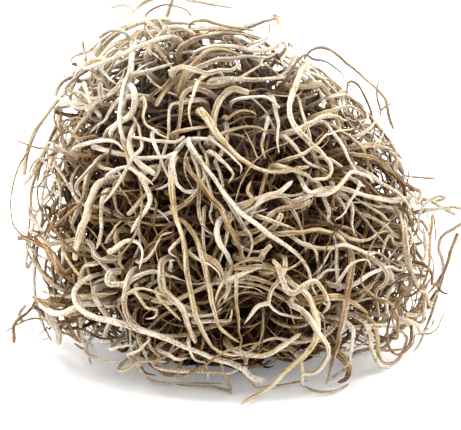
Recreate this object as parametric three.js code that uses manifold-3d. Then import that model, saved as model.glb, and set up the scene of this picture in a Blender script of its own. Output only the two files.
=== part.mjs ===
// A bunch of dried Spanish moss, laid on a surface. Millimetres, +Z up, front towards -Y.
// It is a tangle of curled threads, fused to a smaller core that they stand out of, and the leading
// shoots that lie round it, each a solid of its own that is rooted in a plain hole in the core.
import * as THREE from 'three';
import { mergeVertices } from 'three/addons/utils/BufferGeometryUtils.js';
import Module from 'manifold-3d';

const wasm = await Module();
wasm.setup();

// ---- the bunch as a whole ----
const HALF_WIDTH = 46; // of its rounded shell, along X
const HALF_DEPTH = 41; // along Y
const BELLY_HEIGHT = 22; // height of its widest level
const RISE = 57; // from the widest level up to the crown
const DROP = 42; // from the widest level down to where the shell would close, under the floor
const CROWN_LEAN = 0.13; // how far the crown leans to -X, for each mm above LEAN_FROM
const LEAN_FROM = 27;
const SHELL_POWER = 1.8; // 2 gives an ellipsoid, and less draws the crown in
const FOOTPRINT_SHIFT = [-1.3, -0.2]; // moves the footprint's middle onto the origin

// ---- the core ----
const CORE_SHARE = 0.57; // of the shell's size
const CORE_LUMPS = 0.03;
const CORE_DETAIL = 2;

// ---- threads ----
const CURL_STEP = 4.3; // length of one straight piece of a thread that grows by rule
const DRAWN_STEP = 1.4; // the same on a drawn route, to which STEP_PER_THICKNESS adds
const STEP_PER_THICKNESS = 1.3; // thinner threads bend more tightly
const LEAF_SHARE = 0.85; // a forked leaf's thickness, as a share of its stem's
const SIDES = 3;
const CLEARANCE = 0.32; // between one solid's threads and another's
const SINK = 0.06; // share of the shell that a root runs on into the core
const ROOT_CLIMB = 0.4; // how steeply a shoot that grows by rule climbs as it leaves the core
const TIP_SHARE = 0.5; // a tip's thickness, as a share of its thread's
const THINNEST = 0.62;
const LEVELLING = 9; // distance in which a growing thread makes for its own level
const PRESSED = 0.35; // a curl's lowest height, as a share of its size: the floor flattens it
const TAPER_FROM = 0.55; // share of a thread's length at which it starts to taper

// ---- the view that the front routes are drawn in ----
const VIEW_TILT = THREE.MathUtils.degToRad(16); // looked down on
const EYE_DISTANCE = 700;
const EYE_LEVEL = 30.2; // on the drawing plane, which stands through the origin

const SEED = 1787;
const CURLS = 90;
const BENDING_PASSES = 240;
const MOST_LIFT = 5; // of a drawn shoot that has no room at its own depth
const CURL_TRIES = 10; // of which a curl takes the one with the most room
const MOST_ROOM = 6; // distance to the nearest thread past which more room doesn't count
const SHORTEST_STEM = 55;

const COLOURS = {
  cream: 0xe0d1b8,
  beige: 0xab9a72,
  olive: 0x968245,
  tan: 0xb8925a,
  bark: 0x6a5236,
};

// The leading shoots of the front. Each route runs from where the shoot leaves the tangle to its tip,
// as [across, up] on the drawing plane, depth is how far it starts under the shell, and a fork is a
// leaf that leaves the shoot. Later shoots lie over earlier ones.
const FRONT_SHOOTS = [
  {
    name: 'left_ring_run', colour: 'cream', thick: 1.4, depth: 5,
    route: [[-37, 22.5], [-31.5, 22], [-29, 19], [-27, 16.7], [-25, 14.3], [-21.5, 12.5], [-17, 10.8],
      [-13.5, 10.4], [-10.5, 11.8], [-5, 14.3], [-2, 15], [2, 15], [6, 14.3], [9, 13], [12, 11],
      [14.5, 9.3], [16.3, 8]],
  },
  {
    name: 'front_long_drop', colour: 'cream', thick: 1.6, depth: 0,
    route: [[-13.5, 38.5], [-13.3, 35], [-13, 31.5], [-12, 28.5], [-11, 25.5], [-10.4, 20.5],
      [-10, 17], [-9.3, 13.5], [-8.2, 8], [-7, 5.2], [-5.8, 2.7], [-4, 0], [-2, -1.3], [0.5, -1.6],
      [3, -1.6]],
  },
  {
    name: 'front_brown_drop', colour: 'tan', thick: 1.6, depth: 1,
    route: [[-12, 28.5], [-10.5, 26.5], [-9, 23.5], [-7.5, 20.5], [-6, 17.3], [-4.5, 12], [-4.2, 9.5],
      [-3.5, 7], [-2.8, 4.5], [-1.5, 2], [0.5, 0.3], [2, -0.5]],
    fork: [[-7.5, 20.5], [-5, 19], [-3.3, 17.8], [-2.3, 15]],
  },
  {
    name: 'centre_long_slant', colour: 'cream', thick: 1.4, depth: 1,
    route: [[-8, 44], [-6, 41], [-4, 38.5], [-1.5, 35], [0.5, 32.5], [3, 30], [5, 28.7], [8, 26.3],
      [11, 24.3], [14, 22], [16.5, 19.8], [17.8, 17], [18.3, 14.5], [20.3, 11], [22, 9.5]],
  },
  {
    name: 'centre_ribbon', colour: 'olive', thick: 1.5, depth: 1,
    route: [[-7, 40], [-5.5, 38], [-4, 35.5], [-2, 33.5], [-1, 31], [0.5, 26], [1.5, 24], [2.7, 20.5],
      [3, 18.5], [4, 15]],
  },
  {
    name: 'crown_left_loop', colour: 'cream', thick: 1.3, depth: 3,
    route: [[-27, 50.5], [-25, 52], [-24.5, 55], [-23.2, 60], [-22.6, 65], [-22.8, 69.5], [-24, 71.5],
      [-26, 72.5], [-28, 72], [-30, 70.5]],
  },
  {
    name: 'crown_thin_loop', colour: 'bark', thick: 0.8, depth: 0,
    route: [[-19.5, 74], [-18.8, 76.2], [-17, 77.5], [-15, 78], [-12, 77.5], [-9.8, 76.5], [-8.8, 75]],
  },
  {
    name: 'crown_pale_loop', colour: 'cream', thick: 1.2, depth: 2,
    route: [[-4, 68.5], [0, 68.5], [5, 67.5], [9, 68], [12, 69.5], [13.5, 69], [14.7, 67.3],
      [14, 64.7], [12.5, 62.8]],
    fork: [[4, 68], [7.5, 70], [9, 72], [9.3, 75]],
  },
  {
    name: 'crown_olive_ridge', colour: 'olive', thick: 2, depth: 1,
    route: [[-9.5, 63], [-7, 66], [-4, 68], [-1, 67.5], [2, 66.5]],
  },
  {
    name: 'left_thick_slant', colour: 'tan', thick: 1.9, depth: 2,
    route: [[-29.5, 56.5], [-31, 55], [-33, 52.5], [-35, 49.5], [-37.5, 46]],
    fork: [[-31, 55], [-33, 56], [-36, 55.6], [-39, 54.8]],
  },
  {
    name: 'right_spiky_stem', colour: 'tan', thick: 0.9, depth: 0,
    route: [[31, 49.5], [32.8, 51.5], [34, 53.5], [33.3, 56], [33.2, 59], [33.8, 61.5]],
    fork: [[34, 53.5], [35, 54.3], [37, 55.5]],
  },
  {
    name: 'crown_white_bend', colour: 'cream', thick: 1.7, depth: 0,
    route: [[15.5, 63], [14.3, 58.5], [13.2, 54.5], [14, 51], [16, 48.5], [19, 45.7], [21.3, 43.5],
      [22.7, 41.3], [22.8, 39.3], [21, 38.3], [18.5, 38.2]],
  },
  {
    name: 'upper_pale_drop', colour: 'cream', thick: 1.3, depth: 3,
    route: [[-10.5, 56], [-13.8, 55], [-14, 50], [-13.7, 45], [-14.5, 41.5], [-16.5, 38.5], [-18, 37.5]],
  },
  {
    name: 'upper_pale_arch', colour: 'cream', thick: 1.6, depth: 3,
    route: [[-4, 50.5], [-3.5, 54], [-1.5, 57.5], [1, 58.8], [4, 57.8]],
  },
  {
    name: 'middle_level_run', colour: 'beige', thick: 1.1, depth: 3,
    route: [[-30, 45.3], [-26, 44.3], [-21, 43.7], [-17, 43.5], [-12, 43.3], [-10, 42.5], [-6, 40.5]],
  },
  {
    name: 'right_upper_wave', colour: 'beige', thick: 1.3, depth: 2,
    route: [[30, 46.5], [33, 45.8], [35.5, 45.3], [37, 44], [38, 41.5], [39, 39.5], [41, 39],
      [45, 38.5], [47, 38.5]],
  },
  {
    name: 'right_long_tip', colour: 'cream', thick: 1.3, depth: 2,
    route: [[17.5, 34.5], [20, 35.8], [24, 36.3], [28, 35.5], [32, 34.3], [36, 33.5], [41, 34],
      [44, 33.8], [46.5, 33], [49, 31.2], [51, 30.2]],
  },
  {
    name: 'centre_swoosh', colour: 'tan', thick: 1.9, depth: 2,
    route: [[-3.5, 50], [-2.5, 47], [-1, 45.5], [1, 43.8], [3, 42.5], [7.5, 40.2], [11, 40], [15, 40.7],
      [18, 41.3]],
  },
  {
    name: 'centre_frosty_leaf', colour: 'cream', thick: 1.9, depth: 2,
    route: [[4, 30], [5, 32.3], [6.5, 34], [8.5, 35.5], [11, 38], [13, 39.5]],
  },
  {
    name: 'left_pale_drop', colour: 'cream', thick: 1.7, depth: 1,
    route: [[-31.8, 34], [-32.5, 31], [-34, 27.5], [-34.8, 24], [-35.5, 20]],
  },
  {
    name: 'left_outer_spray', colour: 'beige', thick: 1.2, depth: 1,
    route: [[-31.5, 20.5], [-33, 21], [-37, 22.5], [-40, 24.5], [-43, 27], [-45, 29.5], [-46, 31.5]],
    fork: [[-37, 22.5], [-40.5, 22], [-44, 24.5], [-46.5, 26]],
  },
  {
    name: 'left_far_tip', colour: 'olive', thick: 0.9, depth: 0,
    route: [[-40.5, 5.6], [-42.5, 6.3], [-44.5, 6.6], [-46.5, 6.3], [-48.5, 5.3], [-50, 4.5],
      [-51.7, 3.2]],
    fork: [[-46.5, 6.3], [-47.6, 7.4], [-45.8, 10.2]],
  },
  {
    name: 'left_floor_tip', colour: 'beige', thick: 1.2, depth: 2,
    route: [[-32, 19], [-33.5, 18.5], [-34.3, 16], [-34.4, 12], [-34.3, 6.5], [-34, 3.5], [-33.2, 1],
      [-32.5, -0.8], [-32, -3], [-31.7, -4]],
  },
  {
    name: 'lower_cream_arch', colour: 'cream', thick: 1.6, depth: 2,
    route: [[-26, 17], [-24.5, 15.8], [-22, 15.7], [-20, 16.8], [-17.5, 17.3], [-15, 17.3],
      [-12, 16.2], [-10, 15.5]],
  },
  {
    name: 'lower_blunt_stub', colour: 'cream', thick: 2, depth: 1,
    route: [[-30, 10], [-28.3, 8], [-27.7, 6.5], [-28, 5], [-28.7, 2.8], [-29.5, 0.7]],
  },
  {
    name: 'lower_long_slant', colour: 'cream', thick: 1.4, depth: 1,
    route: [[-31, 10.8], [-29, 8.5], [-26, 6.3], [-23.5, 5.3], [-18, 3.2], [-12, 1], [-9, -0.2],
      [-6, -1.2], [-3, -2.3], [0, -3], [2, -4], [4, -5.8], [5.5, -7.2], [7.5, -7.7]],
  },
  {
    name: 'lower_wide_band', colour: 'beige', thick: 2.1, depth: 1,
    route: [[2, -1.5], [6, -1], [10, 0.3], [13, 1.5], [16, 3.3]],
  },
  {
    name: 'lower_white_fork', colour: 'cream', thick: 1.3, depth: 0,
    route: [[11.3, 16.3], [10.3, 14.3], [8.8, 12.5], [8.2, 11], [9.3, 9.3], [11, 7.8], [13, 7.3],
      [16.5, 6.7]],
    fork: [[8.2, 11], [6.5, 10.8], [5, 9.5], [3.8, 7.8], [2.5, 6.3]],
  },
  {
    name: 'lower_great_ring', colour: 'cream', thick: 1.8, depth: 0,
    route: [[13.5, 16.5], [15.5, 14], [17, 10.5], [17.6, 7], [17.5, 4], [16.8, 1], [15.3, -2],
      [13, -4.3], [10.5, -6], [8, -8], [5.5, -10.3], [3.5, -12], [2.2, -13]],
  },
  {
    name: 'lower_right_ring', colour: 'cream', thick: 1.4, depth: 0,
    route: [[17.5, 8.5], [19.3, 4.5], [21, 0.5], [21.2, -2.5], [19.8, -4.7], [17.5, -5.7],
      [16, -5.3]],
  },
  {
    name: 'right_thick_needle', colour: 'tan', thick: 1.9, depth: 0,
    route: [[27.5, 18.5], [26.8, 15], [26.3, 12], [26, 9], [25.3, 6], [24.7, 2], [23.7, -1],
      [22.8, -4], [22.2, -6.5], [21.6, -8.7]],
  },
  {
    name: 'right_lower_loops', colour: 'beige', thick: 1.1, depth: 1,
    route: [[33, 4], [33.3, 0], [34.5, -2.8], [36, -3.8], [37.5, -3], [39, -1], [40, 1.5],
      [39.3, 3.3], [37, 4.5]],
  },
  {
    name: 'right_outer_drop', colour: 'beige', thick: 1.3, depth: 0,
    route: [[50.7, 29], [48.5, 27], [47.3, 24.5], [47.3, 22], [48.3, 19], [48.3, 17], [47.3, 13.5],
      [46, 9], [44.8, 6], [43, 3], [41.5, 1], [40.5, -0.6]],
  },
];

// The leading shoots of the sides, back and crown grow by rule. Each has its root's bearing, in
// degrees from +X towards +Y, and its height in the core.
const ROUND_SHOOTS = [
  { name: 'back_shoot', count: 6, from: 25, to: 155, low: 18, high: 50 },
  { name: 'side_shoot', count: 4, from: -25, to: 205, low: 24, high: 34 },
  { name: 'crown_shoot', count: 2, from: 20, to: 200, low: 46, high: 50 },
];

// ---- random draws ----
function randomStream(seed) {
  let state = seed >>> 0;
  return () => {
    state = (state + 0x6d2b79f5) >>> 0;
    let mixed = Math.imul(state ^ (state >>> 15), state | 1);
    mixed ^= mixed + Math.imul(mixed ^ (mixed >>> 7), mixed | 61);
    return ((mixed ^ (mixed >>> 14)) >>> 0) / 4294967296;
  };
}

function between(random, low, high) {
  return low + (high - low) * random();
}

// ---- the shell ----
function crownLean(height) {
  return -CROWN_LEAN * Math.max(0, height - LEAN_FROM);
}

// 0 at the middle of the bunch and 1 on its shell.
function shellShare(point) {
  const across = Math.hypot((point.x - crownLean(point.z)) / HALF_WIDTH, point.y / HALF_DEPTH);
  const rise = point.z - BELLY_HEIGHT;
  const up = Math.abs(rise) / (rise > 0 ? RISE : DROP);
  return (across ** SHELL_POWER + up ** SHELL_POWER) ** (1 / SHELL_POWER);
}

function outwardAt(point) {
  const rise = point.z - BELLY_HEIGHT;
  const reach = rise > 0 ? RISE : DROP;
  return new THREE.Vector3(
    (point.x - crownLean(point.z)) / HALF_WIDTH ** 2,
    point.y / HALF_DEPTH ** 2,
    rise / reach ** 2,
  ).normalize();
}

// The point of the drawing plane's [across, up] that lies `towards` nearer the eye.
function inView([across, up], towards) {
  const closer = 1 - towards / EYE_DISTANCE;
  const level = EYE_LEVEL + (up - EYE_LEVEL) * closer;
  return new THREE.Vector3(
    across * closer,
    level * Math.sin(VIEW_TILT) - towards * Math.cos(VIEW_TILT),
    level * Math.cos(VIEW_TILT) + towards * Math.sin(VIEW_TILT),
  );
}

// Lays a drawn point on the front of the shell, or `depth` under it, and never under the floor.
function laid(drawn, depth, lowest) {
  const share = 1 - depth / HALF_WIDTH;
  let inner = -HALF_DEPTH / 2;
  for (let towards = inner; towards < HALF_DEPTH; towards += 1) {
    if (shellShare(inView(drawn, towards)) < shellShare(inView(drawn, inner))) {
      inner = towards;
    }
  }
  let outer = 2 * HALF_WIDTH;
  for (let pass = 0; pass < 30; pass += 1) {
    const middle = (inner + outer) / 2;
    if (shellShare(inView(drawn, middle)) < share || inView(drawn, middle).z < lowest) {
      inner = middle;
    } else {
      outer = middle;
    }
  }
  return inView(drawn, inner);
}

// ---- threads as paths ----
// A path that goes straight from point to point, so that a tube along it has a ring at each point.
class Route extends THREE.Curve {
  constructor(points) {
    super();
    this.points = points;
  }

  getPoint(share, target = new THREE.Vector3()) {
    const place = share * (this.points.length - 1);
    const index = Math.min(Math.floor(place), this.points.length - 2);
    return target.lerpVectors(this.points[index], this.points[index + 1], place - index);
  }

  getPointAt(share, target) {
    return this.getPoint(share, target);
  }

  getTangentAt(share, target) {
    return this.getTangent(share, target);
  }
}

function evenlySpaced(points, step) {
  const curve = new THREE.CatmullRomCurve3(points);
  return curve.getSpacedPoints(Math.max(2, Math.round(curve.getLength() / step)));
}

// How deep the new piece from `start` to `end` bites into what it must clear, and the way out.
const onPiece = new THREE.Vector3();
const onOther = new THREE.Vector3();
function deepestBite(start, end, radius, others) {
  const piece = new THREE.Line3(start, end);
  let worst = { bite: 0, away: null };
  for (const other of others) {
    const reach = radius + other.radius + CLEARANCE;
    if (start.distanceTo(other.line.start) > reach + 2 * CURL_STEP) {
      continue;
    }
    const gap = Math.sqrt(piece.distanceSqToLine3(other.line, onPiece, onOther));
    if (reach - gap > worst.bite) {
      const away = onPiece.clone().sub(onOther);
      worst = { bite: reach - gap, away: away.lengthSq() > 1e-6 ? away.normalize() : outwardAt(start) };
    }
  }
  return worst;
}

function piecesOf(points, radius) {
  return points.slice(1).map((point, i) => ({ line: new THREE.Line3(points[i], point), radius }));
}

// Bends a route clear of the others, mostly outwards, and spaces its points evenly again.
function bentClear(route, thick, others, rootLength) {
  const radius = cornerRadius(thick / 2);
  const step = DRAWN_STEP + STEP_PER_THICKNESS * thick;
  let points = evenlySpaced(route, step);
  for (let pass = 0; pass < BENDING_PASSES; pass += 1) {
    const moves = points.map(() => new THREE.Vector3());
    let worst = 0;
    for (let i = 1; i < points.length; i += 1) {
      const { bite, away } = deepestBite(points[i - 1], points[i], radius, others);
      if (bite > 0) {
        const out = away.clone();
        if (i * step > rootLength) {
          out.addScaledVector(outwardAt(points[i]), 0.8).normalize();
        }
        moves[i - 1].addScaledVector(out, bite * 0.6 + 0.05);
        moves[i].addScaledVector(out, bite * 0.6 + 0.05);
        worst = Math.max(worst, bite);
      }
    }
    if (worst === 0) {
      return points;
    }
    points.forEach((point, i) => {
      point.addScaledVector(moves[i], 0.6);
      for (const near of [i - 1, i + 1]) {
        if (moves[near]) {
          point.addScaledVector(moves[near], 0.25);
        }
      }
      point.z = Math.max(point.z, radius);
    });
    if (pass % 8 === 7) {
      points = evenlySpaced(points, step);
    }
  }
  return null;
}

// Grows a thread from its root. It makes for its own level in the shell, curls there, keeps to its
// `lowest` height or above, bends clear of `others` and stops where it can't.
function grow({ start, heading, length, radius, level, tight, lowest }, random, others) {
  const step = CURL_STEP;
  const points = [start.clone()];
  const own = [];
  const along = heading.clone().normalize();
  let curl = between(random, -1, 1);
  let pitch = 0;
  for (let grown = 0; grown < length; grown += step) {
    const from = points[points.length - 1];
    const outward = outwardAt(from);
    if (random() < 0.22) {
      curl = (random() < 0.5 ? -1 : 1) * between(random, 0.35, 1);
      pitch = between(random, -0.5, 0.5);
    }
    along.applyAxisAngle(outward, curl * tight * step);
    const side = along.clone().cross(outward).normalize();
    along.applyAxisAngle(side, pitch * tight * step);
    const short = ((level - shellShare(from)) * HALF_WIDTH) / LEVELLING;
    const climb = THREE.MathUtils.lerp(along.dot(outward), THREE.MathUtils.clamp(short, -0.8, 0.8), 0.5);
    along.projectOnPlane(outward).setLength(Math.sqrt(1 - climb * climb)).addScaledVector(outward, climb);
    const to = from.clone().addScaledVector(along, step);
    let bite = 1;
    for (let pass = 0; pass < 8 && bite > 0; pass += 1) {
      to.z = Math.max(to.z, lowest);
      const worst = deepestBite(from, to, radius, others.concat(own.slice(0, -2)));
      bite = worst.bite;
      if (bite > 0) {
        to.addScaledVector(worst.away, bite + 0.15);
        to.sub(from).setLength(step).add(from);
      }
    }
    if (bite > 0) {
      return points;
    }
    along.subVectors(to, from).normalize();
    own.push({ line: new THREE.Line3(from, to), radius });
    points.push(to);
  }
  return points;
}

// ---- threads as solids ----
function solidOf(geometry) {
  geometry.deleteAttribute('normal');
  geometry.deleteAttribute('uv');
  const merged = mergeVertices(geometry, 1e-4);
  const vertProperties = new Float32Array(merged.attributes.position.array);
  const triVerts = new Uint32Array(merged.index.array);
  return new wasm.Manifold(new wasm.Mesh({ numProp: 3, vertProperties, triVerts }));
}

// How far a thread's corners lie from its middle, so that it has a round one's area.
function cornerRadius(radius) {
  return radius * Math.sqrt((2 * Math.PI) / (SIDES * Math.sin((2 * Math.PI) / SIDES)));
}

// A tube is extruded this thin, so that each corner lies by its own ring, and then swelled.
const SEED_SIZE = 0.01;

// A tube through the points, whose corners lie `sizeAt` from them, for a share of its length.
function tube(points, sides, sizeAt) {
  const section = new THREE.Shape();
  for (let i = 0; i < sides; i += 1) {
    const turn = (i / sides) * 2 * Math.PI;
    section[i === 0 ? 'moveTo' : 'lineTo'](SEED_SIZE * Math.cos(turn), SEED_SIZE * Math.sin(turn));
  }
  const geometry = new THREE.ExtrudeGeometry(section, {
    steps: points.length - 1, extrudePath: new Route(points), bevelEnabled: false,
  });
  const place = geometry.attributes.position;
  const corner = new THREE.Vector3();
  for (let i = 0; i < place.count; i += 1) {
    corner.fromBufferAttribute(place, i);
    let ring = 0;
    points.forEach((point, k) => {
      if (point.distanceToSquared(corner) < points[ring].distanceToSquared(corner)) {
        ring = k;
      }
    });
    corner.sub(points[ring]).setLength(sizeAt(ring / (points.length - 1))).add(points[ring]);
    place.setXYZ(i, corner.x, corner.y, corner.z);
  }
  return solidOf(geometry);
}

function thread({ points, radius }) {
  const thinnest = THINNEST / 1.5;
  const full = Math.max(cornerRadius(radius), thinnest);
  const tip = Math.max(full * TIP_SHARE, thinnest);
  return tube(points, SIDES, (share) => (
    full + (tip - full) * Math.max(0, (share - TAPER_FROM) / (1 - TAPER_FROM))));
}

// The hole that a shoot's root stands in.
function socket({ points, radius }) {
  const below = points[0].clone().sub(points[1]).setLength(1).add(points[0]);
  const size = (cornerRadius(radius) + CLEARANCE) * Math.SQRT2;
  return tube([below, ...points.slice(0, 3)], 4, () => size);
}

function coreSolid() {
  const core = new THREE.IcosahedronGeometry(1, CORE_DETAIL);
  const place = core.attributes.position;
  const corner = new THREE.Vector3();
  for (let i = 0; i < place.count; i += 1) {
    corner.fromBufferAttribute(place, i);
    const lumps = Math.sin(corner.x * 5 + corner.z * 3) + Math.sin(corner.y * 6 - corner.z * 4);
    corner.multiplyScalar(1 + CORE_LUMPS * lumps);
    const height = BELLY_HEIGHT + corner.z * (corner.z > 0 ? RISE : DROP) * CORE_SHARE;
    place.setXYZ(
      i,
      corner.x * HALF_WIDTH * CORE_SHARE + crownLean(height),
      corner.y * HALF_DEPTH * CORE_SHARE,
      height,
    );
  }
  return solidOf(core);
}

function meshOf(solid, name, colour) {
  const { vertProperties, triVerts } = solid.getMesh();
  const geometry = new THREE.BufferGeometry();
  geometry.setAttribute('position', new THREE.BufferAttribute(new Float32Array(vertProperties), 3));
  geometry.setIndex(new THREE.BufferAttribute(new Uint32Array(triVerts), 1));
  geometry.computeVertexNormals();
  const material = new THREE.MeshStandardMaterial({ color: COLOURS[colour], roughness: 0.9, metalness: 0 });
  const mesh = new THREE.Mesh(geometry, material);
  mesh.name = name;
  return mesh;
}

// ---- the leading shoots ----
// The stretch of a shoot that runs from inside the core out to where its route begins.
function rootTo(first, second) {
  const height = THREE.MathUtils.clamp(first.z * 0.7 + 6, 14, 44);
  const middle = new THREE.Vector3(crownLean(height), 2, height);
  const inner = middle.clone();
  for (let share = 1; share > 0; share -= 0.02) {
    inner.lerpVectors(middle, first, share);
    if (shellShare(inner) < CORE_SHARE - SINK) {
      break;
    }
  }
  const reach = inner.distanceTo(first);
  const rise = inner.clone().lerp(first, 0.45);
  const arrive = first.clone().sub(second).setLength(reach * 0.4).add(first);
  return new THREE.CubicBezierCurve3(inner, rise, arrive, first).getPoints(5).slice(0, -1);
}

function frontShoot({ name, colour, thick, depth, route, fork }, others) {
  const radius = cornerRadius(thick / 2);
  let path = null;
  for (let lift = 0; lift < MOST_LIFT && !path; lift += 1) {
    const drawn = route.map((point) => laid(point, depth - lift, radius));
    const root = rootTo(drawn[0], drawn[1]);
    path = bentClear([...root, ...drawn], thick, others, root[0].distanceTo(drawn[0]));
  }
  if (!path) {
    return null;
  }
  const threads = [{ points: path, radius: thick / 2 }];
  if (fork) {
    const start = nearestOf(path, laid(fork[0], depth, radius));
    const shift = start.clone().sub(laid(fork[0], depth, radius));
    const leaf = fork.slice(1).map((point) => laid(point, depth, radius).add(shift));
    const leafPath = bentClear([start.clone(), ...leaf], thick * LEAF_SHARE, others, 0);
    if (leafPath) {
      leafPath[0].copy(start);
      threads.push({ points: leafPath, radius: thick * LEAF_SHARE / 2 });
    }
  }
  return { name, colour, threads };
}

function nearestOf(points, place) {
  return points.reduce((best, point) => (
    point.distanceTo(place) < best.distanceTo(place) ? point : best));
}

function roundShoot(name, bearing, height, random, others) {
  const turn = THREE.MathUtils.degToRad(bearing);
  const share = CORE_SHARE - SINK;
  const flat = Math.sqrt(Math.max(0.02, share ** 2 - ((height - BELLY_HEIGHT) / RISE) ** 2));
  const start = new THREE.Vector3(
    crownLean(height) + Math.cos(turn) * flat * HALF_WIDTH,
    Math.sin(turn) * flat * HALF_DEPTH,
    height,
  );
  const thick = between(random, 1.1, 1.7);
  const radius = cornerRadius(thick / 2);
  const heading = outwardAt(start).add(new THREE.Vector3(0, 0, ROOT_CLIMB));
  const stem = grow({
    start, heading, length: between(random, 75, 105), radius,
    level: between(random, 0.93, 1), tight: 0.1, lowest: radius,
  }, random, others);
  if (stem.length < SHORTEST_STEM / CURL_STEP) {
    return null;
  }
  const threads = [{ points: stem, radius: thick / 2 }];
  for (const share of [0.45, 0.75]) {
    const index = Math.floor(stem.length * share);
    const from = stem[index];
    const along = stem[index + 1].clone().sub(from).normalize();
    const aside = along.applyAxisAngle(outwardAt(from), random() < 0.5 ? -0.9 : 0.9);
    const rest = [stem.slice(0, index - 2), stem.slice(index + 3)];
    const leaf = grow({
      start: from, heading: aside, length: between(random, 16, 28), radius: radius * LEAF_SHARE,
      level: 1, tight: 0.12, lowest: radius,
    }, random, others.concat(...rest.map((points) => piecesOf(points, radius))));
    if (leaf.length > 3) {
      threads.push({ points: leaf, radius: thick * LEAF_SHARE / 2 });
    }
  }
  return { name, colour: random() < 0.5 ? 'beige' : 'cream', threads };
}

function allShoots() {
  const shoots = [];
  const placed = [];
  const add = (shoot) => {
    if (shoot) {
      shoots.push(shoot);
      shoot.threads.forEach(({ points, radius }) => {
        placed.push(...piecesOf(points, cornerRadius(radius)));
      });
    }
  };
  FRONT_SHOOTS.forEach((plan) => add(frontShoot(plan, placed)));
  ROUND_SHOOTS.forEach(({ name, count, from, to, low, high }, kind) => {
    for (let i = 0; i < count; i += 1) {
      const random = randomStream(SEED + 100 * (kind + 1) + i);
      const bearing = from + ((to - from) * (i + 0.5)) / count;
      let shoot = null;
      for (let attempt = 0; attempt < 12 && !shoot; attempt += 1) {
        const aside = between(random, -12, 12);
        shoot = roundShoot(`${name}_${i + 1}`, bearing + aside, between(random, low, high), random, placed);
      }
      add(shoot);
    }
  });
  return { shoots, placed };
}

// ---- the tangle ----
// Some curls wrap the core closely, most fill the shell, and a few stray past it.
function curlLevel(random) {
  const kind = random();
  if (kind < 0.42) {
    return between(random, 0.63, 0.76);
  }
  return kind < 0.85 ? between(random, 0.8, 0.98) : 1.04;
}

// How much empty shell a curl would fill: what its points have round them.
function roomOf(points, filled) {
  return points.reduce((sum, point) => {
    const nearest = filled.reduce((least, other) => Math.min(least, point.distanceTo(other)), MOST_ROOM);
    return sum + nearest;
  }, 0);
}

// The curls' roots are spread evenly over the core, by the golden angle.
function curlPaths(shoots, placed) {
  const paths = [];
  const filled = shoots.flatMap(({ threads }) => threads.flatMap(({ points }) => points));
  for (let i = 0; i < CURLS; i += 1) {
    const random = randomStream(SEED + 1000 + i);
    const up = 0.96 - (1.5 * (i + 0.5)) / CURLS;
    const turn = i * Math.PI * (3 - Math.sqrt(5));
    const flat = Math.sqrt(1 - up * up);
    const share = CORE_SHARE - SINK;
    const height = Math.max(3, BELLY_HEIGHT + up * share * (up > 0 ? RISE : DROP));
    const start = new THREE.Vector3(
      crownLean(height) + Math.cos(turn) * flat * share * HALF_WIDTH,
      Math.sin(turn) * flat * share * HALF_DEPTH,
      height,
    );
    const thick = between(random, 1, 1.6);
    const radius = cornerRadius(thick / 2);
    const length = between(random, 38, 68);
    const level = curlLevel(random);
    let best = { points: [], room: 0 };
    for (let attempt = 0; attempt < CURL_TRIES; attempt += 1) {
      const lean = new THREE.Vector3(random() - 0.5, random() - 0.5, random() - 0.5);
      const points = grow({
        start, heading: outwardAt(start).add(lean), length, radius, level,
        tight: between(random, 0.09, 0.16), lowest: radius * PRESSED,
      }, random, placed);
      const room = roomOf(points, filled);
      best = room > best.room ? { points, room } : best;
    }
    if (best.points.length > 4) {
      paths.push({ points: best.points, radius: thick / 2 });
      filled.push(...best.points);
    }
  }
  return paths;
}

const { shoots, placed } = allShoots();
const curls = curlPaths(shoots, placed);

const core = coreSolid().subtract(wasm.Manifold.union(shoots.map(({ threads }) => socket(threads[0]))));
const tangle = wasm.Manifold.union([core, ...curls.map(thread)]);
const largest = (solid) => solid.decompose().reduce((a, b) => (a.volume() > b.volume() ? a : b));

const group = new THREE.Group();
group.add(meshOf(largest(tangle.trimByPlane([0, 0, 1], 0)).simplify(0.02), 'moss_tangle', 'beige'));
for (const { name, colour, threads } of shoots) {
  const solid = wasm.Manifold.union(threads.map(thread));
  group.add(meshOf(largest(solid).simplify(0.01), name, colour));
}
group.position.set(...FOOTPRINT_SHIFT, 0);

export default group;
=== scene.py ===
"""A bunch of dried Spanish moss: every thread as fine geometry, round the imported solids.

Routes are worked out in millimetres, by the same rules and seeds as the solids, so that a leading
shoot and a curl of the tangle lie exactly where their solids do. Meshes are made in metres.
"""
import math

import bmesh
import bpy
import numpy as np
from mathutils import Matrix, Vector


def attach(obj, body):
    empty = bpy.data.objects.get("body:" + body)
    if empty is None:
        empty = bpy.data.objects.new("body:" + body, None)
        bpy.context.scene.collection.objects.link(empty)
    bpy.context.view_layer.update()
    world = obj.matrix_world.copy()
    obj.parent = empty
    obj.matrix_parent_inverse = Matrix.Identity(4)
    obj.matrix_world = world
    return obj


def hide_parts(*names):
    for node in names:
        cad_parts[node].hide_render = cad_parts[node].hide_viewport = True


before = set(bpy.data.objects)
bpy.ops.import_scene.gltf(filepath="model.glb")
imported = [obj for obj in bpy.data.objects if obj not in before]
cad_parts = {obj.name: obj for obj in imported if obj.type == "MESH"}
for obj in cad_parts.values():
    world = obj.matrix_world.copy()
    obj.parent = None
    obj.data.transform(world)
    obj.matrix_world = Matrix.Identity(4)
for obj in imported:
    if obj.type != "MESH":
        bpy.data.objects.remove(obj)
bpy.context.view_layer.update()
MM = 0.001

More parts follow.
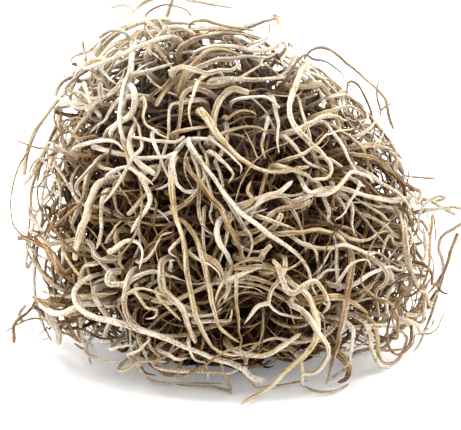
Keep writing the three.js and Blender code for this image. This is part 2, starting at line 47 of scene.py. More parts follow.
# ---- the bunch as a whole, in millimetres ----
HALF_WIDTH = 46.0
HALF_DEPTH = 41.0
BELLY_HEIGHT = 22.0
RISE = 57.0  # of the shell above its belly
DROP = 42.0  # of the whole shell below it, of which the floor leaves a part
CROWN_LEAN = 0.13  # to the left, for each millimetre above LEAN_FROM
LEAN_FROM = 27.0
SHELL_POWER = 1.8
FOOTPRINT_SHIFT = np.array([-1.3, -0.2, 0.0])  # sets the middle of the footprint on the origin
CORE_SHARE = 0.57  # of the shell's size
SINK = 0.06  # how far under the core's surface a thread begins, as a share of the shell

# ---- threads of the solids, in millimetres ----
CURL_STEP = 4.3
DRAWN_STEP = 1.4
STEP_PER_THICKNESS = 1.3
LEAF_SHARE = 0.85  # of its stem's thickness
SIDES = 3
CLEARANCE = 0.32
SEED = 1787

# ---- the view that the front routes are drawn in ----
VIEW_TILT = math.radians(16)
EYE_DISTANCE = 700.0
EYE_LEVEL = 30.2

# The leading shoots: their thickness, their depth under the shell, and their route on the drawing
# plane, as (across, up), with the route of a forked leaf where they have one.
FRONT_SHOOTS = [
    dict(name="left_ring_run", colour="cream", thick=1.4, depth=5, route=[
        (-37, 22.5), (-31.5, 22), (-29, 19), (-27, 16.7), (-25, 14.3), (-21.5, 12.5), (-17, 10.8),
        (-13.5, 10.4), (-10.5, 11.8), (-5, 14.3), (-2, 15), (2, 15), (6, 14.3), (9, 13), (12, 11),
        (14.5, 9.3), (16.3, 8)]),
    dict(name="front_long_drop", colour="cream", thick=1.6, depth=0, route=[
        (-13.5, 38.5), (-13.3, 35), (-13, 31.5), (-12, 28.5), (-11, 25.5), (-10.4, 20.5),
        (-10, 17), (-9.3, 13.5), (-8.2, 8), (-7, 5.2), (-5.8, 2.7), (-4, 0), (-2, -1.3), (0.5, -1.6),
        (3, -1.6)]),
    dict(name="front_brown_drop", colour="tan", thick=1.6, depth=1, route=[
        (-12, 28.5), (-10.5, 26.5), (-9, 23.5), (-7.5, 20.5), (-6, 17.3), (-4.5, 12), (-4.2, 9.5),
        (-3.5, 7), (-2.8, 4.5), (-1.5, 2), (0.5, 0.3), (2, -0.5)],
        fork=[(-7.5, 20.5), (-5, 19), (-3.3, 17.8), (-2.3, 15)]),
    dict(name="centre_long_slant", colour="cream", thick=1.4, depth=1, route=[
        (-8, 44), (-6, 41), (-4, 38.5), (-1.5, 35), (0.5, 32.5), (3, 30), (5, 28.7), (8, 26.3),
        (11, 24.3), (14, 22), (16.5, 19.8), (17.8, 17), (18.3, 14.5), (20.3, 11), (22, 9.5)]),
    dict(name="centre_ribbon", colour="olive", thick=1.5, depth=1, route=[
        (-7, 40), (-5.5, 38), (-4, 35.5), (-2, 33.5), (-1, 31), (0.5, 26), (1.5, 24), (2.7, 20.5),
        (3, 18.5), (4, 15)]),
    dict(name="crown_left_loop", colour="cream", thick=1.3, depth=3, route=[
        (-27, 50.5), (-25, 52), (-24.5, 55), (-23.2, 60), (-22.6, 65), (-22.8, 69.5), (-24, 71.5),
        (-26, 72.5), (-28, 72), (-30, 70.5)]),
    dict(name="crown_thin_loop", colour="bark", thick=0.8, depth=0, route=[
        (-19.5, 74), (-18.8, 76.2), (-17, 77.5), (-15, 78), (-12, 77.5), (-9.8, 76.5), (-8.8, 75)]),
    dict(name="crown_pale_loop", colour="cream", thick=1.2, depth=2, route=[
        (-4, 68.5), (0, 68.5), (5, 67.5), (9, 68), (12, 69.5), (13.5, 69), (14.7, 67.3),
        (14, 64.7), (12.5, 62.8)], fork=[(4, 68), (7.5, 70), (9, 72), (9.3, 75)]),
    dict(name="crown_olive_ridge", colour="olive", thick=2, depth=1, route=[
        (-9.5, 63), (-7, 66), (-4, 68), (-1, 67.5), (2, 66.5)]),
    dict(name="left_thick_slant", colour="tan", thick=1.9, depth=2, route=[
        (-29.5, 56.5), (-31, 55), (-33, 52.5), (-35, 49.5), (-37.5, 46)],
        fork=[(-31, 55), (-33, 56), (-36, 55.6), (-39, 54.8)]),
    dict(name="right_spiky_stem", colour="tan", thick=0.9, depth=0, route=[
        (31, 49.5), (32.8, 51.5), (34, 53.5), (33.3, 56), (33.2, 59), (33.8, 61.5)],
        fork=[(34, 53.5), (35, 54.3), (37, 55.5)]),
    dict(name="crown_white_bend", colour="cream", thick=1.7, depth=0, route=[
        (15.5, 63), (14.3, 58.5), (13.2, 54.5), (14, 51), (16, 48.5), (19, 45.7), (21.3, 43.5),
        (22.7, 41.3), (22.8, 39.3), (21, 38.3), (18.5, 38.2)]),
    dict(name="upper_pale_drop", colour="cream", thick=1.3, depth=3, route=[
        (-10.5, 56), (-13.8, 55), (-14, 50), (-13.7, 45), (-14.5, 41.5), (-16.5, 38.5),
        (-18, 37.5)]),
    dict(name="upper_pale_arch", colour="cream", thick=1.6, depth=3, route=[
        (-4, 50.5), (-3.5, 54), (-1.5, 57.5), (1, 58.8), (4, 57.8)]),
    dict(name="middle_level_run", colour="beige", thick=1.1, depth=3, route=[
        (-30, 45.3), (-26, 44.3), (-21, 43.7), (-17, 43.5), (-12, 43.3), (-10, 42.5), (-6, 40.5)]),
    dict(name="right_upper_wave", colour="beige", thick=1.3, depth=2, route=[
        (30, 46.5), (33, 45.8), (35.5, 45.3), (37, 44), (38, 41.5), (39, 39.5), (41, 39),
        (45, 38.5), (47, 38.5)]),
    dict(name="right_long_tip", colour="cream", thick=1.3, depth=2, route=[
        (17.5, 34.5), (20, 35.8), (24, 36.3), (28, 35.5), (32, 34.3), (36, 33.5), (41, 34),
        (44, 33.8), (46.5, 33), (49, 31.2), (51, 30.2)]),
    dict(name="centre_swoosh", colour="tan", thick=1.9, depth=2, route=[
        (-3.5, 50), (-2.5, 47), (-1, 45.5), (1, 43.8), (3, 42.5), (7.5, 40.2), (11, 40),
        (15, 40.7), (18, 41.3)]),
    dict(name="centre_frosty_leaf", colour="cream", thick=1.9, depth=2, route=[
        (4, 30), (5, 32.3), (6.5, 34), (8.5, 35.5), (11, 38), (13, 39.5)]),
    dict(name="left_pale_drop", colour="cream", thick=1.7, depth=1, route=[
        (-31.8, 34), (-32.5, 31), (-34, 27.5), (-34.8, 24), (-35.5, 20)]),
    dict(name="left_outer_spray", colour="beige", thick=1.2, depth=1, route=[
        (-31.5, 20.5), (-33, 21), (-37, 22.5), (-40, 24.5), (-43, 27), (-45, 29.5), (-46, 31.5)],
        fork=[(-37, 22.5), (-40.5, 22), (-44, 24.5), (-46.5, 26)]),
    dict(name="left_far_tip", colour="olive", thick=0.9, depth=0, route=[
        (-40.5, 5.6), (-42.5, 6.3), (-44.5, 6.6), (-46.5, 6.3), (-48.5, 5.3), (-50, 4.5),
        (-51.7, 3.2)], fork=[(-46.5, 6.3), (-47.6, 7.4), (-45.8, 10.2)]),
    dict(name="left_floor_tip", colour="beige", thick=1.2, depth=2, route=[
        (-32, 19), (-33.5, 18.5), (-34.3, 16), (-34.4, 12), (-34.3, 6.5), (-34, 3.5), (-33.2, 1),
        (-32.5, -0.8), (-32, -3), (-31.7, -4)]),
    dict(name="lower_cream_arch", colour="cream", thick=1.6, depth=2, route=[
        (-26, 17), (-24.5, 15.8), (-22, 15.7), (-20, 16.8), (-17.5, 17.3), (-15, 17.3),
        (-12, 16.2), (-10, 15.5)]),
    dict(name="lower_blunt_stub", colour="cream", thick=2, depth=1, route=[
        (-30, 10), (-28.3, 8), (-27.7, 6.5), (-28, 5), (-28.7, 2.8), (-29.5, 0.7)]),
    dict(name="lower_long_slant", colour="cream", thick=1.4, depth=1, route=[
        (-31, 10.8), (-29, 8.5), (-26, 6.3), (-23.5, 5.3), (-18, 3.2), (-12, 1), (-9, -0.2),
        (-6, -1.2), (-3, -2.3), (0, -3), (2, -4), (4, -5.8), (5.5, -7.2), (7.5, -7.7)]),
    dict(name="lower_wide_band", colour="beige", thick=2.1, depth=1, route=[
        (2, -1.5), (6, -1), (10, 0.3), (13, 1.5), (16, 3.3)]),
    dict(name="lower_white_fork", colour="cream", thick=1.3, depth=0, route=[
        (11.3, 16.3), (10.3, 14.3), (8.8, 12.5), (8.2, 11), (9.3, 9.3), (11, 7.8), (13, 7.3),
        (16.5, 6.7)], fork=[(8.2, 11), (6.5, 10.8), (5, 9.5), (3.8, 7.8), (2.5, 6.3)]),
    dict(name="lower_great_ring", colour="cream", thick=1.8, depth=0, route=[
        (13.5, 16.5), (15.5, 14), (17, 10.5), (17.6, 7), (17.5, 4), (16.8, 1), (15.3, -2),
        (13, -4.3), (10.5, -6), (8, -8), (5.5, -10.3), (3.5, -12), (2.2, -13)]),
    dict(name="lower_right_ring", colour="cream", thick=1.4, depth=0, route=[
        (17.5, 8.5), (19.3, 4.5), (21, 0.5), (21.2, -2.5), (19.8, -4.7), (17.5, -5.7),
        (16, -5.3)]),
    dict(name="right_thick_needle", colour="tan", thick=1.9, depth=0, route=[
        (27.5, 18.5), (26.8, 15), (26.3, 12), (26, 9), (25.3, 6), (24.7, 2), (23.7, -1),
        (22.8, -4), (22.2, -6.5), (21.6, -8.7)]),
    dict(name="right_lower_loops", colour="beige", thick=1.1, depth=1, route=[
        (33, 4), (33.3, 0), (34.5, -2.8), (36, -3.8), (37.5, -3), (39, -1), (40, 1.5),
        (39.3, 3.3), (37, 4.5)]),
    dict(name="right_outer_drop", colour="beige", thick=1.3, depth=0, route=[
        (50.7, 29), (48.5, 27), (47.3, 24.5), (47.3, 22), (48.3, 19), (48.3, 17), (47.3, 13.5),
        (46, 9), (44.8, 6), (43, 3), (41.5, 1), (40.5, -0.6)]),
]

# The shoots all round: how many, between which bearings in degrees and at which heights they start.
ROUND_SHOOTS = [
    dict(name="back_shoot", count=6, start=25, end=155, low=18, high=50),
    dict(name="side_shoot", count=4, start=-25, end=205, low=24, high=34),
    dict(name="crown_shoot", count=2, start=20, end=200, low=46, high=50),
]


# ---- random draws ----
WORD = 0xFFFFFFFF  # 32 bits, in which the draws are worked out
STRIDE = 0x6D2B79F5


def random_stream(seed):
    """Even draws from 0 to 1, the same ones as the solids' own for the same seed."""
    state = seed & WORD

    def draw():
        nonlocal state
        state = (state + STRIDE) & WORD
        mixed = ((state ^ (state >> 15)) * (state | 1)) & WORD
        mixed ^= (mixed + (((mixed ^ (mixed >> 7)) * (mixed | 61)) & WORD)) & WORD
        return (mixed ^ (mixed >> 14)) / (WORD + 1)

    return draw


def between(draw, low, high):
    return low + (high - low) * draw()


def either_way(draw, size):
    return -size if draw() < 0.5 else size


def spiral_turn(i):
    """The bearing of the i-th root on a spiral that spreads roots evenly over a dome."""
    return i * math.pi * (3 - math.sqrt(5))


# ---- the shell ----
def crown_lean(height):
    """How far across the middle of the bunch lies at a height."""
    return -CROWN_LEAN * max(0.0, height - LEAN_FROM)


def shell_share(point):
    """0 at the middle of the bunch and 1 on its shell."""
    x, y, z = point
    across = math.hypot((x - crown_lean(z)) / HALF_WIDTH, y / HALF_DEPTH)
    rise = z - BELLY_HEIGHT
    up = abs(rise) / (RISE if rise > 0 else DROP)
    return (across ** SHELL_POWER + up ** SHELL_POWER) ** (1 / SHELL_POWER)


def rise_share(point):
    """0 up to the belly of the bunch and 1 at the top of its shell."""
    return min(max((point[2] - BELLY_HEIGHT) / RISE, 0.0), 1.0)


def unit(vector):
    return vector / math.sqrt(vector @ vector)


def outward_at(point):
    """The way straight out of the shell."""
    x, y, z = point
    rise = z - BELLY_HEIGHT
    reach = RISE if rise > 0 else DROP
    return unit(np.array([
        (x - crown_lean(z)) / HALF_WIDTH ** 2, y / HALF_DEPTH ** 2, rise / reach ** 2]))


def in_view(drawn, towards):
    """The point of the drawing plane's (across, up) that lies `towards` nearer the eye."""
    across, up = drawn
    closer = 1 - towards / EYE_DISTANCE
    level = EYE_LEVEL + (up - EYE_LEVEL) * closer
    return np.array([
        across * closer,
        level * math.sin(VIEW_TILT) - towards * math.cos(VIEW_TILT),
        level * math.cos(VIEW_TILT) + towards * math.sin(VIEW_TILT)])


HALVINGS = 30


def laid(drawn, depth, lowest):
    """Lays a drawn point on the front of the shell, or `depth` under it, not under the floor."""
    share = 1 - depth / HALF_WIDTH
    inner = -HALF_DEPTH / 2
    towards = inner
    least = shell_share(in_view(drawn, inner))
    while towards < HALF_DEPTH:
        here = shell_share(in_view(drawn, towards))
        if here < least:
            inner, least = towards, here
        towards += 1
    outer = 2 * HALF_WIDTH
    for _ in range(HALVINGS):
        middle = (inner + outer) / 2
        place = in_view(drawn, middle)
        if shell_share(place) < share or place[2] < lowest:
            inner = middle
        else:
            outer = middle
    return in_view(drawn, inner)


# ---- paths ----
MEASURED_POINTS = 201
ROOT_SHARES = np.linspace(0, 0.8, 5)[:, None]


def catmull_rom(points, shares):
    """Points at these shares of a centripetal Catmull-Rom curve through `points`."""
    points = np.asarray(points, float)
    whole = np.concatenate([
        [2 * points[0] - points[1]], points, [2 * points[-1] - points[-2]]])
    place = np.asarray(shares, float) * (len(points) - 1)
    index = np.minimum(place.astype(int), len(points) - 2)
    part = (place - index)[:, None]
    p0, p1, p2, p3 = (whole[index + k] for k in range(4))
    t0, t1, t2 = (
        np.sqrt(np.linalg.norm(b - a, axis=1))[:, None] for a, b in ((p0, p1), (p1, p2), (p2, p3)))
    first = ((p1 - p0) / t0 - (p2 - p0) / (t0 + t1) + (p2 - p1) / t1) * t1
    second = ((p2 - p1) / t1 - (p3 - p1) / (t1 + t2) + (p3 - p2) / t2) * t1
    square = -3 * p1 + 3 * p2 - 2 * first - second
    cube = 2 * p1 - 2 * p2 + first + second
    return p1 + first * part + square * part ** 2 + cube * part ** 3


def evenly_spaced(points, step):
    """Points about `step` apart on the same curve, with the same ends."""
    shares = np.linspace(0, 1, MEASURED_POINTS)
    fine = catmull_rom(points, shares)
    lengths = np.concatenate([[0], np.cumsum(np.linalg.norm(np.diff(fine, axis=0), axis=1))])
    count = max(2, math.floor(lengths[-1] / step + 0.5))
    return catmull_rom(points, np.interp(np.linspace(0, lengths[-1], count + 1), lengths, shares))


def root_curve(inner, rise, arrive, first):
    """Points of a cubic curve from inside the bunch, up to a little before the route's first one."""
    t = ROOT_SHARES
    return (1 - t) ** 3 * inner + 3 * (1 - t) ** 2 * t * rise + 3 * (1 - t) * t ** 2 * arrive + t ** 3 * first


def turned(vector, axis, angle):
    """The vector turned round an axis of unit length."""
    cosine, sine = math.cos(angle), math.sin(angle)
    return vector * cosine + np.cross(axis, vector) * sine + axis * (axis @ vector) * (1 - cosine)


def pieces_of(points, radius):
    """The straight pieces of a thread, as rows of start, end and size."""
    points = np.asarray(points)
    return np.column_stack([points[:-1], points[1:], np.full(len(points) - 1, radius)])


NOTHING = np.zeros((0, 7))
TOUCHING = 1e-3


def deepest_bite(start, end, radius, others):
    """How deep the new piece bites into what it must clear, and the way out."""
    reach = radius + others[:, 6] + CLEARANCE
    apart = start - others[:, 0:3]
    near = np.einsum("ij,ij->i", apart, apart) <= (reach + 2 * CURL_STEP) ** 2
    if not near.any():
        return 0.0, None
    others, reach, apart = others[near], reach[near], apart[near]
    own, other = end - start, others[:, 3:6] - others[:, 0:3]
    a, e = own @ own, np.einsum("ij,ij->i", other, other)
    f, c, b = np.einsum("ij,ij->i", other, apart), apart @ own, other @ own
    spread = a * e - b * b
    level = spread == 0
    s = np.where(level, 0, np.clip((b * f - c * e) / np.where(level, 1, spread), 0, 1))
    t = (b * s + f) / e
    s = np.where(t < 0, np.clip(-c / a, 0, 1), np.where(t > 1, np.clip((b - c) / a, 0, 1), s))
    t = np.clip(t, 0, 1)
    away = start + own * s[:, None] - others[:, 0:3] - other * t[:, None]
    gap = np.sqrt(np.einsum("ij,ij->i", away, away))
    worst = int(np.argmax(reach - gap))
    bite = reach[worst] - gap[worst]
    if bite <= 0:
        return 0.0, None
    return bite, away[worst] / gap[worst] if gap[worst] > TOUCHING else outward_at(start)


# How a route is bent clear of others: the push out of each bite, and what a point and its neighbours
# take of it.
BENDING_PASSES = 240
OUTWARD_PUSH = 0.8
BITE_PUSH = 0.6
LEAST_PUSH = 0.05
OWN_MOVE = 0.6
NEIGHBOUR_MOVE = 0.25
SPACED_EVERY = 8


def bent_clear(route, thick, others, root_length, passes=BENDING_PASSES):
    """Bends a route clear of the others, mostly outwards, and spaces its points evenly again."""
    radius = corner_radius(thick / 2)
    step = DRAWN_STEP + STEP_PER_THICKNESS * thick
    points = evenly_spaced(route, step)
    for turn in range(passes):
        moves = np.zeros_like(points)
        clear = True
        for i in range(1, len(points)):
            bite, away = deepest_bite(points[i - 1], points[i], radius, others)
            if bite > 0:
                if i * step > root_length:
                    away = unit(away + outward_at(points[i]) * OUTWARD_PUSH)
                moves[i - 1] += away * (bite * BITE_PUSH + LEAST_PUSH)
                moves[i] += away * (bite * BITE_PUSH + LEAST_PUSH)
                clear = False
        if clear:
            return points
        points += moves * OWN_MOVE
        points[1:] += moves[:-1] * NEIGHBOUR_MOVE
        points[:-1] += moves[1:] * NEIGHBOUR_MOVE
        points[:, 2] = np.maximum(points[:, 2], radius)
        if turn % SPACED_EVERY == SPACED_EVERY - 1:
            points = evenly_spaced(points, step)
    return None


# How a thread grows: it curls one way until it draws a new curl, keeps to its level of the shell, and
# dodges what it would bite into.
NEW_CURL_ODDS = 0.22
LEAST_CURL = 0.35
MOST_PITCH = 0.5
LEVELLING = 9.0
MOST_CLIMB = 0.8
CLIMB_GAIN = 0.5
DODGES = 8
DODGE_EXTRA = 0.15


def grow(draw, start, heading, length, radius, level, tight, lowest, others=NOTHING, step=CURL_STEP):
    """Grows a thread from its root, by the rules that the solids' threads follow."""
    points = [start]
    own = NOTHING
    along = unit(heading)
    curl = between(draw, -1, 1)
    pitch = 0.0
    grown = 0.0
    while grown < length:
        start = points[-1]
        outward = outward_at(start)
        if draw() < NEW_CURL_ODDS:
            curl = either_way(draw, 1) * between(draw, LEAST_CURL, 1)
            pitch = between(draw, -MOST_PITCH, MOST_PITCH)
        along = turned(along, outward, curl * tight * step)
        side = unit(np.cross(along, outward))
        along = turned(along, side, pitch * tight * step)
        short = (level - shell_share(start)) * HALF_WIDTH / LEVELLING
        rising = along @ outward
        climb = rising + (min(max(short, -MOST_CLIMB), MOST_CLIMB) - rising) * CLIMB_GAIN
        along = unit(along - outward * rising) * math.sqrt(1 - climb * climb) + outward * climb
        end = start + along * step
        for _ in range(DODGES):
            end[2] = max(end[2], lowest)
            bite, away = deepest_bite(start, end, radius, others)
            if len(own) > 2:
                own_bite, own_away = deepest_bite(start, end, radius, own[:-2])
                if own_bite > bite:
                    bite, away = own_bite, own_away
            if bite <= 0:
                break
            end = start + unit(end + away * (bite + DODGE_EXTRA) - start) * step
        if bite > 0:
            return np.array(points)
        along = unit(end - start)
        own = np.vstack([own, [*start, *end, radius]])
        points.append(end)
        grown += step
    return np.array(points)


def corner_radius(radius):
    """From the axis to the corners of a solid's tube that has a round thread's section area."""
    return radius * math.sqrt(2 * math.pi / (SIDES * math.sin(2 * math.pi / SIDES)))


# ---- the leading shoots, as in the solids ----
ROOT_FALL = 0.7  # a root starts at this share of its route's height and ROOT_OFFSET more
ROOT_OFFSET = 6
LOWEST_ROOT = 14
HIGHEST_ROOT = 44
ROOT_BACK = 2
ROOT_SEARCH_STEP = 0.02
ROOT_BEND = 0.45
ROOT_ARRIVAL = 0.4
MOST_LIFT = 5


def root_to(first, second):
    """The stretch of a thread that runs from inside the bunch out to where its route begins."""
    height = min(max(first[2] * ROOT_FALL + ROOT_OFFSET, LOWEST_ROOT), HIGHEST_ROOT)
    middle = np.array([crown_lean(height), ROOT_BACK, height])
    share = 1.0
    inner = first
    while share > 0 and shell_share(inner) >= CORE_SHARE - SINK:
        inner = middle + (first - middle) * share
        share -= ROOT_SEARCH_STEP
    reach = np.linalg.norm(inner - first)
    rise = inner + (first - inner) * ROOT_BEND
    arrive = first + unit(first - second) * reach * ROOT_ARRIVAL
    return root_curve(inner, rise, arrive, first)


def front_shoot(plan, others):
    """A drawn shoot, lifted off the shell until it can be bent clear, and its forked leaf."""
    thick, depth, route = plan["thick"], plan["depth"], plan["route"]
    radius = corner_radius(thick / 2)
    for lift in range(MOST_LIFT):
        drawn = np.array([laid(point, depth - lift, radius) for point in route])
        root = root_to(drawn[0], drawn[1])
        root_length = np.linalg.norm(root[0] - drawn[0])
        path = bent_clear(np.vstack([root, drawn]), thick, others, root_length)
        if path is not None:
            break
    threads = [(path, thick / 2)]
    if "fork" in plan:
        leaf = np.array([laid(point, depth, radius) for point in plan["fork"]])
        start = path[np.argmin(np.linalg.norm(path - leaf[0], axis=1))]
        leaf_path = bent_clear(leaf + (start - leaf[0]), thick * LEAF_SHARE, others, 0)
        if leaf_path is not None:
            leaf_path[0] = start
            threads.append((leaf_path, thick * LEAF_SHARE / 2))
    return plan["colour"], threads


ROUND_THICKS = (1.1, 1.7)
ROUND_LENGTHS = (75, 105)
ROUND_LEVELS = (0.93, 1)
ROUND_TIGHT = 0.1
ROOT_CLIMB = 0.4
SHORTEST_STEM = 55
ROUND_LEAF_PLACES = (0.45, 0.75)
ROUND_LEAF_TURN = 0.9
ROUND_LEAF_LENGTHS = (16, 28)
ROUND_LEAF_TIGHT = 0.12
FEWEST_LEAF_POINTS = 4
FLATTEST = 0.02
ROUND_TRIES = 12
MOST_ASIDE = 12
KIND_SEEDS = 100


def round_shoot(bearing, height, draw, others):
    """A long stem with up to two leaves, grown out of the core, or None where it has no room."""
    turn = math.radians(bearing)
    share = CORE_SHARE - SINK
    flat = math.sqrt(max(FLATTEST, share ** 2 - ((height - BELLY_HEIGHT) / RISE) ** 2))
    start = np.array([
        crown_lean(height) + math.cos(turn) * flat * HALF_WIDTH,
        math.sin(turn) * flat * HALF_DEPTH,
        height])
    thick = between(draw, *ROUND_THICKS)
    radius = corner_radius(thick / 2)
    length = between(draw, *ROUND_LENGTHS)
    level = between(draw, *ROUND_LEVELS)
    heading = outward_at(start) + np.array([0, 0, ROOT_CLIMB])
    stem = grow(draw, start, heading, length, radius, level, ROUND_TIGHT, radius, others)
    if len(stem) < SHORTEST_STEM / CURL_STEP:
        return None
    threads = [(stem, thick / 2)]
    for share in ROUND_LEAF_PLACES:
        index = int(len(stem) * share)
        start = stem[index]
        turn = either_way(draw, ROUND_LEAF_TURN)
        heading = turned(unit(stem[index + 1] - start), outward_at(start), turn)
        length = between(draw, *ROUND_LEAF_LENGTHS)
        rest = [pieces_of(part, radius) for part in (stem[:index - 2], stem[index + 3:])
                if len(part) > 1]
        leaf = grow(draw, start, heading, length, radius * LEAF_SHARE, 1, ROUND_LEAF_TIGHT, radius,
                    np.vstack([others, *rest]))
        if len(leaf) >= FEWEST_LEAF_POINTS:
            threads.append((leaf, thick * LEAF_SHARE / 2))
    return "beige" if draw() < 0.5 else "cream", threads


def all_shoots():
    """The leading shoots, as (node name, colour, threads), and the pieces that curls must clear."""
    shoots = []
    placed = NOTHING
    for plan in FRONT_SHOOTS:
        colour, threads = front_shoot(plan, placed)
        shoots.append((plan["name"], colour, threads))
        placed = np.vstack([placed, *(pieces_of(path, corner_radius(r)) for path, r in threads)])
    for kind, plan in enumerate(ROUND_SHOOTS):
        for i in range(plan["count"]):
            draw = random_stream(SEED + KIND_SEEDS * (kind + 1) + i)
            bearing = plan["start"] + (plan["end"] - plan["start"]) * (i + 0.5) / plan["count"]
            shoot = None
            for _ in range(ROUND_TRIES):
                aside = between(draw, -MOST_ASIDE, MOST_ASIDE)
                height = between(draw, plan["low"], plan["high"])
                shoot = round_shoot(bearing + aside, height, draw, placed)
                if shoot:
                    break
            if shoot:
                colour, threads = shoot
                shoots.append((f"{plan['name']}_{i + 1}", colour, threads))
                placed = np.vstack([
                    placed, *(pieces_of(path, corner_radius(r)) for path, r in threads)])
    return shoots, placed


# ---- the tangle, as in the solids ----
CURLS = 90
CURL_SEEDS = 1000
CURL_TRIES = 10
CURL_THICKS = (1, 1.6)
CURL_LENGTHS = (38, 68)
CURL_TIGHTS = (0.09, 0.16)
HIGHEST_CURL = 0.96  # on a unit dome, down from which the roots go by CURL_FALL
CURL_FALL = 1.5
LOWEST_CURL = 3.0
FEWEST_CURL_POINTS = 5
PRESSED = 0.35  # of a curl's radius: how low it may run over the floor
MOST_ROOM = 6.0
DEEP_ODDS = 0.42
DEEP_LEVELS = (0.63, 0.76)
SHALLOW_ODDS = 0.85  # with the deep ones
SHALLOW_LEVELS = (0.8, 0.98)
PROUD_LEVEL = 1.04


def curl_level(draw):
    """The share of the shell that a curl keeps to."""
    kind = draw()
    if kind < DEEP_ODDS:
        return between(draw, *DEEP_LEVELS)
    return between(draw, *SHALLOW_LEVELS) if kind < SHALLOW_ODDS else PROUD_LEVEL


def room_of(points, filled):
    """How much empty shell a curl would fill: what its points have round them."""
    apart = np.linalg.norm(points[:, None] - filled[None], axis=2).min(axis=1)
    return float(np.minimum(apart, MOST_ROOM).sum())


def curl_paths(shoots, placed):
    """The curls of the tangle's solid, each of them the roomiest of a few tries."""
    paths = []
    filled = np.vstack([path for _, _, threads in shoots for path, _ in threads])
    share = CORE_SHARE - SINK
    for i in range(CURLS):
        draw = random_stream(SEED + CURL_SEEDS + i)
        up = HIGHEST_CURL - CURL_FALL * (i + 0.5) / CURLS
        turn = spiral_turn(i)
        flat = math.sqrt(1 - up * up)
        height = max(LOWEST_CURL, BELLY_HEIGHT + up * share * (RISE if up > 0 else DROP))
        start = np.array([
            crown_lean(height) + math.cos(turn) * flat * share * HALF_WIDTH,
            math.sin(turn) * flat * share * HALF_DEPTH,
            height])
        thick = between(draw, *CURL_THICKS)
        radius = corner_radius(thick / 2)
        length = between(draw, *CURL_LENGTHS)
        level = curl_level(draw)
        best, most = [], 0.0
        for _ in range(CURL_TRIES):
            lean = np.array([draw() - 0.5, draw() - 0.5, draw() - 0.5])
            tight = between(draw, *CURL_TIGHTS)
            points = grow(draw, start, outward_at(start) + lean, length, radius, level, tight,
                          radius * PRESSED, placed)
            room = room_of(points, filled)
            if room > most:
                best, most = points, room
        if len(best) >= FEWEST_CURL_POINTS:
            paths.append((best, thick / 2))
            filled = np.vstack([filled, best])
    return paths


